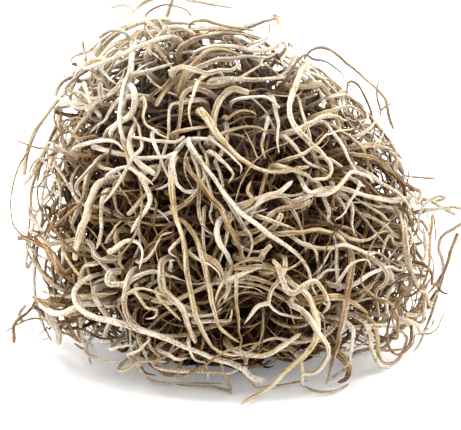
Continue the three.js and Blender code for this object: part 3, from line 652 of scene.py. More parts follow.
# ---- more threads of the front, that lie among the leading shoots ----
# Tone, thickness, depth under the shell, and the route on the drawing plane.
PALE, FAWN, OLIVE, STRAW, BROWN, DARK = 0.79, 0.69, 0.47, 0.58, 0.3, 0.1
MORE_THREADS = [
    (PALE, 1.5, 0, [(-9, 62.5), (-6, 62), (-3, 63), (0, 63), (2, 64.5)]),
    (PALE, 1.3, 3, [(-9, 60), (-4, 59.5), (0, 60.5), (4, 62.5), (7, 65), (6, 67)]),
    (FAWN, 1.7, 2, [(-1, 61), (5, 61), (10, 61.3), (13.5, 62)]),
    (PALE, 0.8, 1, [(5, 57), (8, 57), (11, 54.5)]),
    (OLIVE, 1.4, 2, [(-2, 48.5), (0, 49.5), (4, 50.3), (7, 49.8), (8.5, 48.5)]),
    (FAWN, 1.2, 4, [(-8, 57), (-10.5, 56), (-12, 53), (-13.2, 49), (-13.5, 45)]),
    (PALE, 1.2, 3, [(-5, 60.5), (-7, 58.5), (-8, 55), (-8.2, 50)]),
    (BROWN, 1.1, 2, [(-7.5, 66), (-10, 65), (-13, 62), (-16, 59), (-18, 57)]),
    (STRAW, 1.1, 3, [(-10, 63), (-13, 60.5), (-15, 58.5), (-17, 55)]),
    (PALE, 1.1, 3, [(-12.5, 44.5), (-10, 47), (-7, 47.5), (-4, 47)]),
    (FAWN, 1.1, 2, [(-10, 49.5), (-7, 50), (-4, 50), (-3, 48.5), (-2, 46.5)]),
    (PALE, 0.8, 1, [(-20, 47.5), (-16.5, 47), (-12.5, 46.8), (-10.5, 48)]),
    (FAWN, 1.1, 3, [(-21.8, 69.5), (-20, 72), (-18, 73.5), (-15, 73.8), (-11, 73.7), (-8, 73.5)]),
    (PALE, 1.2, 3, [(-16.5, 69), (-14, 70.2), (-11, 70.5), (-8.5, 70)]),
    (PALE, 1.1, 2, [(-39, 54.8), (-36, 55.3), (-33, 55.5), (-31, 54.5), (-29.5, 52.5)]),
    (BROWN, 0.7, 0, [(-36.5, 49), (-38, 51), (-39, 53.5)]),
    (FAWN, 1.1, 2, [(-23.5, 60.5), (-26, 58), (-29, 56), (-32, 56), (-35, 58), (-36.5, 60), (-35, 63.5)]),
    (PALE, 1.3, 3, [(-24, 55.5), (-27, 53.5), (-30, 50.5), (-31.5, 48)]),
    (OLIVE, 1, 0, [(-38, 44.5), (-42, 45.3), (-45.5, 45.8), (-48, 47)]),
    (STRAW, 0.8, 0, [(-31, 62), (-32.5, 64), (-33.2, 67), (-33.8, 69.8)]),
    (BROWN, 0.6, 0, [(-34, 57), (-35.5, 58.8), (-36.8, 60.5), (-37.5, 62.5), (-37.3, 64.5)]),
    (DARK, 0.6, 0, [(15, 63.5), (18, 65.3), (20.5, 65.3), (22.5, 64.5), (25, 62.5), (26.5, 60), (28, 58)]),
    (FAWN, 1.2, 1, [(24.5, 57.5), (27, 57.5), (29, 56), (30.5, 54.5)]),
    (PALE, 1, 2, [(23, 54), (26, 54.8), (29, 54), (31, 52)]),
    (OLIVE, 1.8, 1, [(16.5, 60.5), (18.5, 60), (20, 59.5), (22, 57)]),
    (PALE, 0.9, 0, [(17, 44.5), (20, 47), (23, 48.9), (26, 49.5), (28, 50)]),
    (BROWN, 0.7, 0, [(-37, 23), (-40, 26.5), (-41.5, 29), (-43.3, 31.5), (-43.9, 33.5), (-44, 36),
                     (-42.5, 38.5), (-40.5, 39.7)]),
    (BROWN, 1.7, 0, [(-38.5, 20.5), (-41, 22.5), (-44, 24.5), (-46.5, 26)]),
    (FAWN, 1, 0, [(-40.3, 14.3), (-41.5, 15.5), (-43, 17), (-45, 20), (-47, 23.8)]),
    (STRAW, 1.7, 2, [(-33, 37.5), (-33.5, 34), (-35.5, 30), (-36.5, 27)]),
    (PALE, 1.6, 1, [(-29.7, 32), (-29.3, 27), (-29.6, 23), (-30.3, 21.5)]),
    (FAWN, 1.2, 3, [(-30, 40.5), (-29.7, 37), (-30, 34)]),
    (PALE, 1.2, 1, [(-26, 22.5), (-24.5, 24), (-22, 24.3), (-20.3, 23), (-19.7, 20.5), (-20.3, 17.5)]),
    (PALE, 1, 1, [(-20, 21.5), (-17.5, 23.5), (-14, 26), (-12, 26.5)]),
    (FAWN, 1.2, 2, [(-26, 22.8), (-24.8, 20), (-23.8, 17.5), (-22.5, 16)]),
    (PALE, 1.6, 1, [(-17.8, 37.5), (-17.5, 36), (-18.5, 33), (-20.5, 29), (-22.5, 25.5)]),
    (PALE, 1.2, 1, [(-26, 40.5), (-23.5, 42), (-21, 41), (-19, 38.5), (-17.8, 37)]),
    (BROWN, 0.7, 0, [(-30, 33), (-26, 34.8), (-22, 36), (-18.5, 36.8)]),
    (PALE, 1.2, 2, [(-35, 45.8), (-31, 46.5), (-28, 47), (-25, 46.3), (-23.5, 44.5)]),
    (STRAW, 0.6, 0, [(-42.5, 43), (-45, 42), (-46, 40)]),
    (PALE, 1.2, 1, [(-17, 45.5), (-15.5, 42), (-14.8, 40), (-13.7, 38.5), (-15, 36.8), (-17.5, 36)]),
    (PALE, 1.2, 2, [(-8, 42), (-7.3, 40), (-7.2, 36), (-7.4, 31.5), (-6.5, 28), (-5, 26.3), (-3.8, 25.5)]),
    (PALE, 1, 2, [(-6.3, 27.5), (-6.2, 24), (-5.7, 21)]),
    (FAWN, 1.2, 3, [(-3.5, 46.5), (-3.2, 43), (-2.5, 40), (-1.8, 37), (-1.5, 34.5)]),
    (PALE, 1, 0, [(-1.5, 45), (0.5, 43.2), (2, 41.8), (2.6, 40.5), (2, 39.5)]),
    (PALE, 1, 1, [(-2, 42.3), (-0.7, 41), (0.3, 39.5), (0, 38), (-0.8, 37)]),
    (FAWN, 1.2, 2, [(0, 32.5), (1.5, 30), (3, 27.5), (4.5, 25), (4.7, 23), (4, 21), (3.3, 19.5)]),
    (STRAW, 1.3, 2, [(2.2, 32.2), (2.8, 35), (3, 36), (4.5, 38)]),
    (OLIVE, 1.2, 2, [(5.5, 29.3), (8, 30.5), (11, 31.5), (14, 32.5), (17, 34)]),
    (PALE, 1.3, 1, [(7, 27.3), (9, 29), (10.5, 30.5)]),
    (PALE, 1.1, 1, [(10, 28.6), (12.5, 27.8), (15, 26.2)]),
    (FAWN, 1.2, 3, [(5, 33.5), (9, 35), (13, 34.5), (17, 35.3)]),
    (FAWN, 1.3, 2, [(0, 24.5), (-0.3, 20), (-1.2, 17.5), (-2.2, 15), (-3, 12.5), (-3.6, 10.8)]),
    (BROWN, 1.1, 2, [(-18, 22), (-15, 24.5), (-12.5, 26.3)]),
    (PALE, 1.1, 1, [(24, 48.5), (25.5, 46), (26.5, 43.5), (28, 41), (29.5, 39)]),
    (OLIVE, 1.2, 2, [(26, 48.5), (28, 46.3), (30, 43.5), (31, 41.5)]),
    (BROWN, 1.1, 1, [(31, 43), (34, 41.5), (36.5, 40), (38.5, 38), (40, 36.8), (41.3, 35.5)]),
    (FAWN, 1.2, 2, [(25.5, 41), (28, 39), (31, 37)]),
    (PALE, 1.1, 2, [(33, 38.5), (35, 36), (37, 33.5), (38.5, 31), (40, 28.5)]),
    (FAWN, 1.1, 1, [(42, 33.5), (41, 30.5), (40.5, 28)]),
    (FAWN, 1, 0, [(43.8, 33), (42.8, 30), (42.7, 27), (45.5, 26.3)]),
    (STRAW, 0.9, 0, [(51.5, 26), (50, 22), (49, 18.5), (47, 15), (44.5, 12), (41, 10.5)]),
    (PALE, 0.9, 0, [(28.5, 35.5), (27, 33.3), (25.5, 30.5), (23.5, 29)]),
    (DARK, 0.6, 0, [(24.5, 29), (23, 25.5), (21.5, 22.5), (20.8, 18)]),
    (PALE, 1.1, 1, [(22, 23), (25, 23.2), (28, 21.5), (30, 21.2), (33, 21.5)]),
    (PALE, 0.9, 0, [(26, 17.5), (26.5, 19), (28.3, 20), (30.5, 19.5), (31.5, 18)]),
    (PALE, 1.2, 1, [(28, 15.2), (31, 16.6), (35, 18.3), (38, 18.5), (42, 18)]),
    (FAWN, 1.1, 1, [(40, 26), (36.5, 25.8), (35, 24), (34, 21)]),
    (FAWN, 1.1, 1, [(39.5, 24.5), (39, 21.5), (38.7, 19)]),
    (OLIVE, 0.9, 0, [(-40, 9.8), (-43, 10.8), (-45.8, 10.2), (-47.3, 8.8), (-48.2, 6.6), (-48.8, 4.2),
                     (-49.3, 1.5)]),
    (STRAW, 1.4, 1, [(-45, 9.7), (-43, 8), (-41.5, 6.5), (-40.3, 5.3), (-39.3, 4.3)]),
    (FAWN, 1, 1, [(-40.2, 9), (-42, 10), (-44, 11)]),
    (FAWN, 1.1, 1, [(-38, 20), (-38.5, 16.5), (-39, 12.5)]),
    (DARK, 0.5, 0, [(-37, 6.5), (-40, 5.5), (-42.7, 3.8), (-43.7, 2.5), (-43.3, 1.8), (-40.8, 2.8)]),
    (PALE, 1.7, 0, [(-35, 9.3), (-37, 7), (-38.5, 4.5), (-39.3, 2.5), (-39, 1.7)]),
    (FAWN, 1.1, 0, [(-38, 4), (-36.5, 3), (-35, 1.8), (-33.8, 1)]),
    (FAWN, 1, 0, [(-32.5, -0.3), (-30.5, -2), (-28.5, -3.2), (-27, -3.3), (-25, -2.7), (-24.3, -3.2)]),
    (DARK, 0.8, 0, [(-36, 4.5), (-34, 4.3), (-30, 3.3), (-27, 2.7), (-24, 2.8)]),
    (PALE, 1.3, 0, [(-26.3, 0.8), (-24, 0.7), (-22, 0.5)]),
    (PALE, 1.2, 0, [(-24.3, -4.1), (-22.3, -3.3), (-21, -2.7), (-18.5, -2.9), (-14.5, -3.2)]),
    (FAWN, 1, 0, [(-22.3, -1.8), (-22.5, -1), (-21.8, 0), (-20.5, 0.8), (-18, 2.8)]),
    (PALE, 1, 1, [(-30, 20), (-31.5, 22.5), (-33, 24.8)]),
    (PALE, 1.6, 0, [(-24, 13), (-24.2, 10), (-23.8, 7.5), (-22.7, 5.3), (-21.5, 4.3)]),
    (FAWN, 1, 1, [(-31, 12), (-28, 12.7), (-25.5, 13.3)]),
    (PALE, 1.5, 0, [(-15.5, 15.6), (-15, 13), (-13.5, 11.5), (-12.3, 10.5), (-11, 9), (-10, 6.5),
                    (-9.3, 4), (-8, 1.3)]),
    (FAWN, 1.1, 1, [(-15, 10), (-13, 8.3), (-11, 6.3)]),
    (FAWN, 1.2, 1, [(1, 16), (4, 17.5), (7, 18.3), (10, 17.5), (11.5, 16.3)]),
    (PALE, 1.2, 2, [(0, 15.3), (4, 16), (8, 15), (11, 13.7), (13.5, 12), (15.5, 10.3)]),
    (STRAW, 0.8, 0, [(1.3, 13.5), (1.2, 10), (1.7, 7), (1.8, 4), (2.3, 2), (2, 0), (3, -3)]),
    (PALE, 1, 1, [(-5, 5.5), (-3, 5.7), (-1.5, 6.3), (-0.3, 8), (0.5, 9)]),
    (FAWN, 1, 2, [(-7, 7.3), (-4, 7.5), (-2, 9)]),
    (FAWN, 1.1, 0, [(-15, -4.3), (-12, -5), (-8, -5.3), (-4, -5.2), (0, -4.5), (2, -4)]),
    (PALE, 0.7, 0, [(-8.3, -1.5), (-7, -4), (-6.3, -6), (-5.5, -8)]),
    (FAWN, 1.1, 1, [(-14, -0.5), (-11, -0.2), (-9, -0.3)]),
    (PALE, 1.3, 1, [(14, 16.5), (16.3, 12.5), (17.5, 8.5)]),
    (PALE, 1.1, 0, [(16, -5.5), (16.2, -8), (17.5, -9.7), (20.5, -10.3), (24, -9.7), (27, -8.5)]),
    (OLIVE, 1.8, 0, [(20.5, 11), (23, 11.7), (25.5, 11.3), (27.5, 10.3), (29.5, 9), (31, 7.8)]),
    (FAWN, 1.1, 0, [(25.8, 2), (25.5, -0.5), (24.5, -2.7), (23.3, -4.3)]),
    (BROWN, 1, 1, [(27.5, 12), (31, 14), (33.5, 15.5)]),
    (DARK, 0.6, 0, [(44, 16.3), (40, 16.5), (38, 15.5), (35, 12.7), (32, 9.3), (31, 7.5)]),
    (PALE, 1.1, 1, [(33.5, 18), (33.8, 14), (33.5, 10), (33, 6.5)]),
    (PALE, 1.1, 1, [(36.5, 15), (35.3, 12), (35.3, 9), (36.3, 6.5)]),
    (FAWN, 1.1, 1, [(30, 5), (33, 5.8), (37, 5.3), (41, 5)]),
    (FAWN, 1, 0, [(31, 4), (31.7, 1), (32.5, -2), (34, -4), (36, -4.7)]),
    (BROWN, 1.9, 0, [(26.3, -4.3), (27.3, -6), (27.2, -7.5), (25.5, -8.2)]),
    (BROWN, 1, 0, [(44.3, 16.5), (44.8, 14.5), (46.3, 13), (48, 12.7)]),
    (FAWN, 1.1, 0, [(47, 13), (45.5, 10.7), (43.7, 8.3), (41.5, 7.4), (39.5, 7.5)]),
    (STRAW, 1.2, 1, [(38.5, 6.3), (40.5, 5.8), (42.5, 6.2)]),
    (STRAW, 0.6, 0, [(39, 0.5), (41.5, 2), (44, 4), (45.8, 5.5), (48.8, 8.3)]),
    (DARK, 0.6, 0, [(30, 5), (29.3, 3.5), (27.8, 1), (26.5, -1)]),
    (PALE, 1.1, 0, [(-29, 69.3), (-30.4, 67), (-30.3, 64), (-29.5, 62), (-28, 60.5), (-26, 59.6)]),
    (STRAW, 0.9, 1, [(-29.3, 63.5), (-28.6, 66), (-27, 67.4), (-24.5, 68.1), (-22.5, 68.2)]),
    (PALE, 1.2, 0, [(-25.3, 52), (-25.1, 56), (-24.2, 60), (-23.2, 63.5), (-23, 67)]),
    (PALE, 1.5, 1, [(-25.2, 51.3), (-23.5, 52.5), (-22.5, 54.5), (-22.6, 57), (-23.3, 59)]),
    (PALE, 1.2, 1, [(-34.6, 60.5), (-33.6, 58.5), (-32, 57), (-30.5, 56), (-29.4, 54.3)]),
    (PALE, 1.1, 1, [(-30.5, 55.7), (-28.5, 57), (-26.5, 58.8), (-25, 61), (-24.2, 63.3)]),
    (STRAW, 0.9, 1, [(-34, 59), (-31.5, 59), (-29.5, 59), (-27, 58.2)]),
    (BROWN, 0.8, 0, [(-36, 64.7), (-34, 64.2), (-32, 63), (-30.6, 61.6)]),
    (FAWN, 1.5, 1, [(-22.8, 61.5), (-20, 62.7), (-17, 63.6), (-14.5, 64.2), (-12.8, 64.9)]),
    (FAWN, 1, 1, [(-18.5, 67.3), (-17.5, 65.8), (-16, 64.3)]),
    (PALE, 1, 1, [(-16.3, 67.5), (-15, 65.5), (-13.6, 63.6)]),
    (FAWN, 0.6, 0, [(-16, 73.7), (-15, 72), (-14, 70.3)]),
    (FAWN, 0.6, 0, [(-19, 72.3), (-18.2, 71), (-17.3, 69.8)]),
    (PALE, 1, 1, [(-21.3, 54), (-20, 51), (-18, 49.3), (-15.8, 47.3), (-13.5, 46.8)]),
    (BROWN, 0.9, 0, [(-39.3, 53.2), (-38.2, 51), (-36.8, 49)]),
    (DARK, 0.8, 0, [(-36.3, 11), (-38, 8.5), (-39.5, 6.3)]),
    (DARK, 0.7, 0, [(-38, 11.3), (-39.5, 9), (-41, 7)]),
    (OLIVE, 1, 1, [(-39.8, 13.5), (-40.5, 16), (-41, 19), (-39.5, 20.5)]),
    (BROWN, 0.8, 1, [(-40.5, 14.5), (-41.8, 16), (-42.2, 18), (-41.8, 20)]),
    (STRAW, 1.2, 0, [(-38, 7.8), (-39.8, 8.3), (-41, 9), (-42.8, 10.3), (-44.8, 11.5)]),
    (PALE, 1.1, 1, [(-34.5, 11.5), (-38, 11.8), (-40, 12), (-42, 12.5), (-43.5, 13.2)]),
    (PALE, 1.2, 0, [(-37.5, 20.5), (-36, 18.5), (-34.5, 16.5), (-33, 14.8)]),
    (OLIVE, 1, 1, [(-5.3, 74.3), (-2, 73.3), (2, 72.8), (5.5, 72)]),
    (STRAW, 1.3, 2, [(-8.5, 70), (-5, 71), (-1.5, 71.8), (3, 71.7), (5.5, 70.8)]),
    (STRAW, 1.3, 1, [(-7.5, 63.5), (-4, 65.3), (0, 65.8), (4, 66.2), (8, 66), (11, 67.5)]),
    (PALE, 1.2, 1, [(9, 75.2), (9, 72.5), (8, 70.3), (6, 68.8), (3, 68)]),
    (FAWN, 1.1, 1, [(12, 69), (11, 66.5), (11.2, 64.5), (12.5, 62.5)]),
    (PALE, 1, 2, [(10.3, 54.5), (10.8, 51), (10.5, 48), (10.8, 44)]),
    (FAWN, 1, 2, [(7.8, 49), (7.5, 46), (8, 43)]),
    (OLIVE, 1, 1, [(0.2, 53), (2, 53.8), (4.5, 53.8), (6, 53)]),
    (PALE, 1.4, 2, [(17.5, 50.5), (20, 51.3), (23, 51), (26, 51.2)]),
    (FAWN, 1, 2, [(14, 31.3), (15.3, 29), (16, 26.5), (16.8, 24), (17, 21.5)]),
    (FAWN, 1.1, 1, [(13.5, 26), (16, 26.2), (19, 26.8), (22, 26.3), (24.5, 25.5), (26.3, 23)]),
    (PALE, 1.1, 1, [(17.3, 24.3), (19, 23), (20, 21), (20, 19.3)]),
    (PALE, 0.9, 2, [(5.3, 24.5), (7.5, 24.8), (9.5, 24.5)]),
    (STRAW, 1.2, 2, [(4.5, 21.2), (7, 22.5), (10, 24)]),
    (OLIVE, 1.4, 1, [(3.5, 18.3), (6, 18.6), (9, 18), (11.5, 16.8), (14, 15.5)]),
    (STRAW, 1.1, 1, [(11, 17.5), (13.5, 18.2), (15.5, 19.5), (16.5, 20.3)]),
    (FAWN, 1.1, 1, [(20, 15.5), (21, 16.8), (23.5, 17.6), (26, 17.8)]),
    (FAWN, 1, 2, [(24, 22), (24, 19), (24.2, 16), (24.5, 13)]),
    (BROWN, 1, 2, [(20.5, 35.5), (20.3, 31), (20.3, 27)]),
    (PALE, 1.5, 3, [(21, 34.5), (22, 32), (22.3, 30), (21.8, 28.5)]),
    (BROWN, 1.1, 1, [(22.3, 35), (23, 33), (24.3, 30.5)]),
    (FAWN, 1.2, 2, [(24.8, 35), (25.3, 32.5), (25.5, 30.5)]),
    (PALE, 1.1, 2, [(26.8, 32), (26.5, 29.5), (26.9, 27.5), (28, 25.5)]),
    (DARK, 0.9, 1, [(22.5, 41), (25, 40.8), (27.5, 39), (29.5, 36.8), (30.5, 35)]),
    (PALE, 1.2, 1, [(23, 38.8), (26, 37.8), (28.5, 36.5), (30, 35.5)]),
    (PALE, 1.3, 2, [(15.3, 44.8), (16.5, 43), (18, 41.8), (20, 41), (22, 40)]),
    (FAWN, 1.3, 2, [(15, 40), (17.5, 39), (19, 37.8), (20.5, 37.3)]),
    (FAWN, 1, 2, [(6, 32.5), (8, 33.8), (11, 34.3), (14, 33.5)]),
    (FAWN, 1.2, 2, [(-24.3, 46.5), (-23.5, 44.5), (-23.2, 42.5), (-22.5, 41), (-20.5, 39), (-18.5, 37.5)]),
    (FAWN, 1, 3, [(-28.5, 40.8), (-26, 40.2), (-24.8, 38.5), (-24.3, 36.5)]),
    (STRAW, 1, 2, [(-26.3, 34.5), (-26.2, 32.5), (-25.5, 30.8), (-24.3, 30)]),
    (STRAW, 1.2, 1, [(-21.3, 33.5), (-22.3, 31.5), (-23.5, 30.3)]),
    (BROWN, 1, 3, [(-30, 29.5), (-27, 29.3), (-24, 29.8), (-21, 30.2), (-18, 30.3)]),
    (PALE, 1, 1, [(-27.8, 26.5), (-26.3, 28), (-24.5, 29)]),
    (FAWN, 0.9, 2, [(-18.5, 31.5), (-16.5, 31), (-14.8, 30), (-13.5, 28.5)]),
    (BROWN, 0.8, 2, [(-18.3, 30), (-17.5, 27.5), (-16.5, 25.5)]),
    (PALE, 1, 2, [(-12.4, 24), (-12.7, 22.5), (-11.8, 20.8)]),
    (FAWN, 1.1, 1, [(-13.5, 18.3), (-12, 19.7), (-10.5, 20.3)]),
    (FAWN, 1, 2, [(-6, 39.5), (-5, 36.5), (-4.2, 33), (-4.8, 30), (-4, 28)]),
    (OLIVE, 1.2, 2, [(-7, 22.5), (-6.3, 20.8), (-5.5, 20.3)]),
    (FAWN, 1, 2, [(-0.8, 26.5), (-1.5, 23), (-2.5, 20), (-3.2, 18)]),
    (BROWN, 1.2, 3, [(-12, 34), (-9.5, 33.3), (-8.5, 33)]),
    (PALE, 1.1, 1, [(-21, 11.5), (-20, 10), (-18.8, 8.8), (-17, 8.9), (-16.4, 8), (-17.3, 7), (-19.5, 6.5)]),
    (PALE, 1.1, 1, [(-6.5, 19.7), (-4, 18.5), (-2.7, 17), (-2.3, 15.5)]),
    (FAWN, 1, 1, [(-2.5, 13.5), (-3.3, 11.5), (-3.4, 10)]),
    (FAWN, 0.9, 1, [(-16.8, -0.3), (-15.5, -1.5), (-14.8, -2.7)]),
    (FAWN, 0.9, 1, [(-19.8, -0.5), (-18, -2), (-16, -2.3), (-15, -2.2)]),
    (BROWN, 1, 2, [(-13.5, -3), (-11.5, -1.8), (-9, -1.2)]),
]
TONES = dict(cream=PALE, beige=FAWN, olive=OLIVE, tan=STRAW, bark=BROWN)
THREAD_SEED = 4211
OPEN_AIR = 1.01  # a thread drawn from outside this share of the shell has no root of its own
FREE_END = 2.0  # a drawn thread's root may bend clear of the others along this length
SQUEEZED = 0.7  # of its thickness is what a drawn thread keeps clear of the others
DRAWN_PASSES = 40
UNBENT_STEP = 2.0
ROOT_SKIPPED = 2  # of the root's points, which lie in the packed fibre


def drawn_threads(placed):
    """The threads of MORE_THREADS, bent clear of the leading shoots where there is room."""
    threads = []
    for tone, thick, depth, route in MORE_THREADS:
        radius = corner_radius(thick / 2)
        drawn = np.array([laid(point, depth, thick / 2) for point in route])
        rooted = shell_share(drawn[0]) < OPEN_AIR
        whole = np.vstack([root_to(drawn[0], drawn[1])[ROOT_SKIPPED:], drawn]) if rooted else drawn
        path = bent_clear(whole, thick * SQUEEZED, placed, FREE_END, DRAWN_PASSES)
        path = evenly_spaced(whole, UNBENT_STEP) if path is None else path
        threads.append(dict(points=path, radius=thick / 2, tone=tone))
        placed = np.vstack([placed, pieces_of(path, radius * SQUEEZED)])
    return threads


# ---- threads that fill the bunch, in millimetres ----
FILLER_STEP = 3.0
HIGHEST_FILLER = 0.98  # on a unit dome, down from which the roots go by FILLER_FALL
FILLER_FALL = 1.62
LOWEST_FILLER = 2.0
FILLER_ROOTS = (0.8, 1.25)  # as shares of the core
FILLER_LEAN = 3
FEWEST_POINTS = 4
LEAF_ODDS = 0.4
FEWEST_TO_FORK = 7
FORK_PLACES = (0.4, 0.8)
FORK_TURNS = (0.6, 1.1)
FORK_LENGTHS = (8, 20)
CROWDING_GAP = 3.0
CROWDING_SHARE = 0.5
FAR_OFF = np.full((1, 3), 1000.0)
WAVE_HEIGHTS = (0.5, 3.0)
WAVE_LENGTHS = (16, 30)
STILL_POINTS = 4  # over which a wave sets in from the root
FILLER_REACH = 1.0  # as a share of the shell
CROWN_HOLLOW = 0.1  # of that share, by which the fillers stay under the crown's own loops
FOOT_SHARE = 0.4  # of the bunch's width: outside it the underside rises off the floor
UNDERSIDE_RISE = 16.0


def off_the_floor(points):
    """The points up to where a thread would go under the rising underside of the bunch."""
    across = np.hypot(points[:, 0] / HALF_WIDTH, points[:, 1] / HALF_DEPTH)
    under = points[:, 2] < (across - FOOT_SHARE) * UNDERSIDE_RISE
    return points[:int(np.argmax(under))] if under.any() else points


def waved(points, radius, draw):
    """Lets a thread rise off the shell and dip under it along its length, but not at its root."""
    height = between(draw, *WAVE_HEIGHTS)
    turns = np.arange(len(points)) * FILLER_STEP / between(draw, *WAVE_LENGTHS) + draw()
    onset = np.minimum(np.arange(len(points)) / STILL_POINTS, 1)
    swing = height * np.sin(turns * 2 * math.pi) * onset
    reach = [FILLER_REACH - CROWN_HOLLOW * rise_share(point) ** 2 for point in points]
    room = np.array([(most - shell_share(point)) * HALF_WIDTH for most, point in zip(reach, points)])
    swing = np.minimum(swing, room)
    moved = points + np.array([outward_at(point) for point in points]) * swing[:, None]
    moved[:, 2] = np.maximum(moved[:, 2], radius)
    return moved


def crowded(points, drawn):
    """Whether a filling thread would run along the drawn ones and hide them."""
    apart = np.linalg.norm(points[:, None] - drawn[None], axis=2).min(axis=1)
    return (apart < CROWDING_GAP).mean() > CROWDING_SHARE


def filler_threads(count, seed, levels, thicks, tones, lengths, tight, drawn=FAR_OFF):
    """Threads that fill the bunch evenly all round, some of them with a forked leaf."""
    threads = []
    for i in range(count):
        draw = random_stream(seed + i)
        up = HIGHEST_FILLER - FILLER_FALL * (i + draw()) / count
        turn = spiral_turn(i) + draw()
        flat = math.sqrt(1 - up * up)
        share = CORE_SHARE * between(draw, *FILLER_ROOTS)
        height = max(LOWEST_FILLER, BELLY_HEIGHT + up * share * (RISE if up > 0 else DROP))
        start = np.array([
            crown_lean(height) + math.cos(turn) * flat * share * HALF_WIDTH,
            math.sin(turn) * flat * share * HALF_DEPTH,
            height])
        lean = np.array([draw() - 0.5, draw() - 0.5, draw() - 0.5]) * FILLER_LEAN
        radius = between(draw, *thicks) / 2
        tone = between(draw, *tones)
        points = grow(draw, start, outward_at(start) + lean, between(draw, *lengths), radius,
                      between(draw, *levels), between(draw, *tight), radius, step=FILLER_STEP)
        points = off_the_floor(waved(points, radius, draw))
        if len(points) < FEWEST_POINTS or crowded(points, drawn):
            continue
        threads.append(dict(points=points, radius=radius, tone=tone))
        if draw() < LEAF_ODDS and len(points) >= FEWEST_TO_FORK:
            middle = int(len(points) * between(draw, *FORK_PLACES))
            along = unit(points[middle] - points[middle - 1])
            heading = turned(along, outward_at(points[middle]), between(draw, *FORK_TURNS))
            leaf = grow(draw, points[middle], heading, between(draw, *FORK_LENGTHS),
                        radius * LEAF_SHARE, levels[1], tight[1], radius, step=FILLER_STEP)
            leaf = off_the_floor(waved(leaf, radius, draw))
            if len(leaf) >= FEWEST_POINTS:
                threads.append(dict(points=leaf, radius=radius * LEAF_SHARE, tone=tone))
    return threads


# ---- node trees, for geometry and for materials ----
class Value:
    """A node's output that takes part in Python expressions, each of which adds a Math node."""

    def __init__(self, tree, socket):
        self.tree = tree
        self.socket = socket

    def math(self, operation, *values):
        return self.tree.value("ShaderNodeMath", {"operation": operation}, dict(enumerate(values)))

    def __add__(self, other):
        return self.math("ADD", self, other)

    __radd__ = __add__

    def __mul__(self, other):
        return self.math("MULTIPLY", self, other)

    __rmul__ = __mul__

    def __sub__(self, other):
        return self.math("SUBTRACT", self, other)

    def __rsub__(self, other):
        return self.math("SUBTRACT", other, self)

    def __truediv__(self, other):
        return self.math("DIVIDE", self, other)

    def __pow__(self, power):
        return self.math("POWER", self, power)

    def within(self, low=0.0, high=1.0):
        return self.math("MINIMUM", self.math("MAXIMUM", self, low), high)

    def step(self, low, high):
        """0 up to `low` and 1 from `high`, with a smooth rise between them."""
        return self.tree.value(
            "ShaderNodeMapRange", {"interpolation_type": "SMOOTHSTEP"},
            {"Value": self, "From Min": low, "From Max": high})


class Tree:
    """Adds nodes to one node tree."""

    def __init__(self, tree):
        self.nodes = tree.nodes
        self.links = tree.links

    def node(self, kind, settings=None, sockets=None):
        node = self.nodes.new(kind)
        for name, setting in (settings or {}).items():
            setattr(node, name, setting)
        for name, value in (sockets or {}).items():
            if isinstance(value, Value):
                self.links.new(value.socket, node.inputs[name])
            else:
                node.inputs[name].default_value = value
        return node

    def value(self, kind, settings=None, sockets=None, output=0):
        return Value(self, self.node(kind, settings, sockets).outputs[output])

    def noise(self, place, scale, detail=2.0, output=0):
        return self.value(
            "ShaderNodeTexNoise", None, {"Vector": place, "Scale": scale, "Detail": detail}, output)

    def object_place(self):
        return self.value("ShaderNodeTexCoord", None, None, "Object")

    def named(self, name):
        """A geometry tree's own attribute of that name."""
        return self.value("GeometryNodeInputNamedAttribute", {"data_type": "FLOAT"}, {"Name": name})

    def parts(self, vector):
        node = self.node("ShaderNodeSeparateXYZ", None, {"Vector": vector})
        return [Value(self, socket) for socket in node.outputs]

    def vector(self, x, y, z):
        return self.value("ShaderNodeCombineXYZ", None, {"X": x, "Y": y, "Z": z})

    def vector_math(self, operation, *values):
        return self.value("ShaderNodeVectorMath", {"operation": operation}, dict(enumerate(values)))

    def scaled(self, vector, factor):
        return self.value(
            "ShaderNodeVectorMath", {"operation": "SCALE"}, {"Vector": vector, "Scale": factor})

    def mixed(self, first, second, factor, blend="MIX"):
        return self.value(
            "ShaderNodeMix", {"data_type": "RGBA", "blend_type": blend},
            {"Factor": factor, 6: first, 7: second}, 2)


def new_group(name, inputs):
    """A geometry tree with these inputs, as (group, tree, the inputs' values by name)."""
    group = bpy.data.node_groups.new(name, "GeometryNodeTree")
    group.interface.new_socket("Geometry", in_out="OUTPUT", socket_type="NodeSocketGeometry")
    for label, kind in (("Geometry", "Geometry"), *inputs, ("Material", "Material")):
        group.interface.new_socket(label, in_out="INPUT", socket_type=f"NodeSocket{kind}")
    tree = Tree(group)
    given = {socket.name: Value(tree, socket) for socket in tree.node("NodeGroupInput").outputs
             if socket.name}
    return group, tree, given


def end_tree(tree, body, material):
    """Gives the body its material and puts it out as a plain mesh."""
    body = tree.value("GeometryNodeRealizeInstances", None, {"Geometry": body})
    body = tree.value("GeometryNodeSetMaterial", None, {"Geometry": body, "Material": material})
    tree.node("NodeGroupOutput", None, {"Geometry": body})


# ---- the thread maker ----
FLATNESS = 0.78  # of a thread's section, across its groove
GROOVE = 0.3
SWELL = 1.02  # makes up for a part of the flattening and the groove
WANDER = 0.27 * MM
WANDER_SCALE = 230.0
LUMP_SCALE = 1500.0
UNEVEN = 0.55  # how far a thread's thickness wanders along it
UNEVEN_SCALE = 600.0
TWIST = 95.0  # radians in a metre
TAPER_FROM = 0.4
TAPER = 0.55
TIP_LENGTH = 1.4 * MM
BLUNT_TIP = 0.75
THINNEST_TIP = 0.05
GROOVE_SHARPNESS = 6


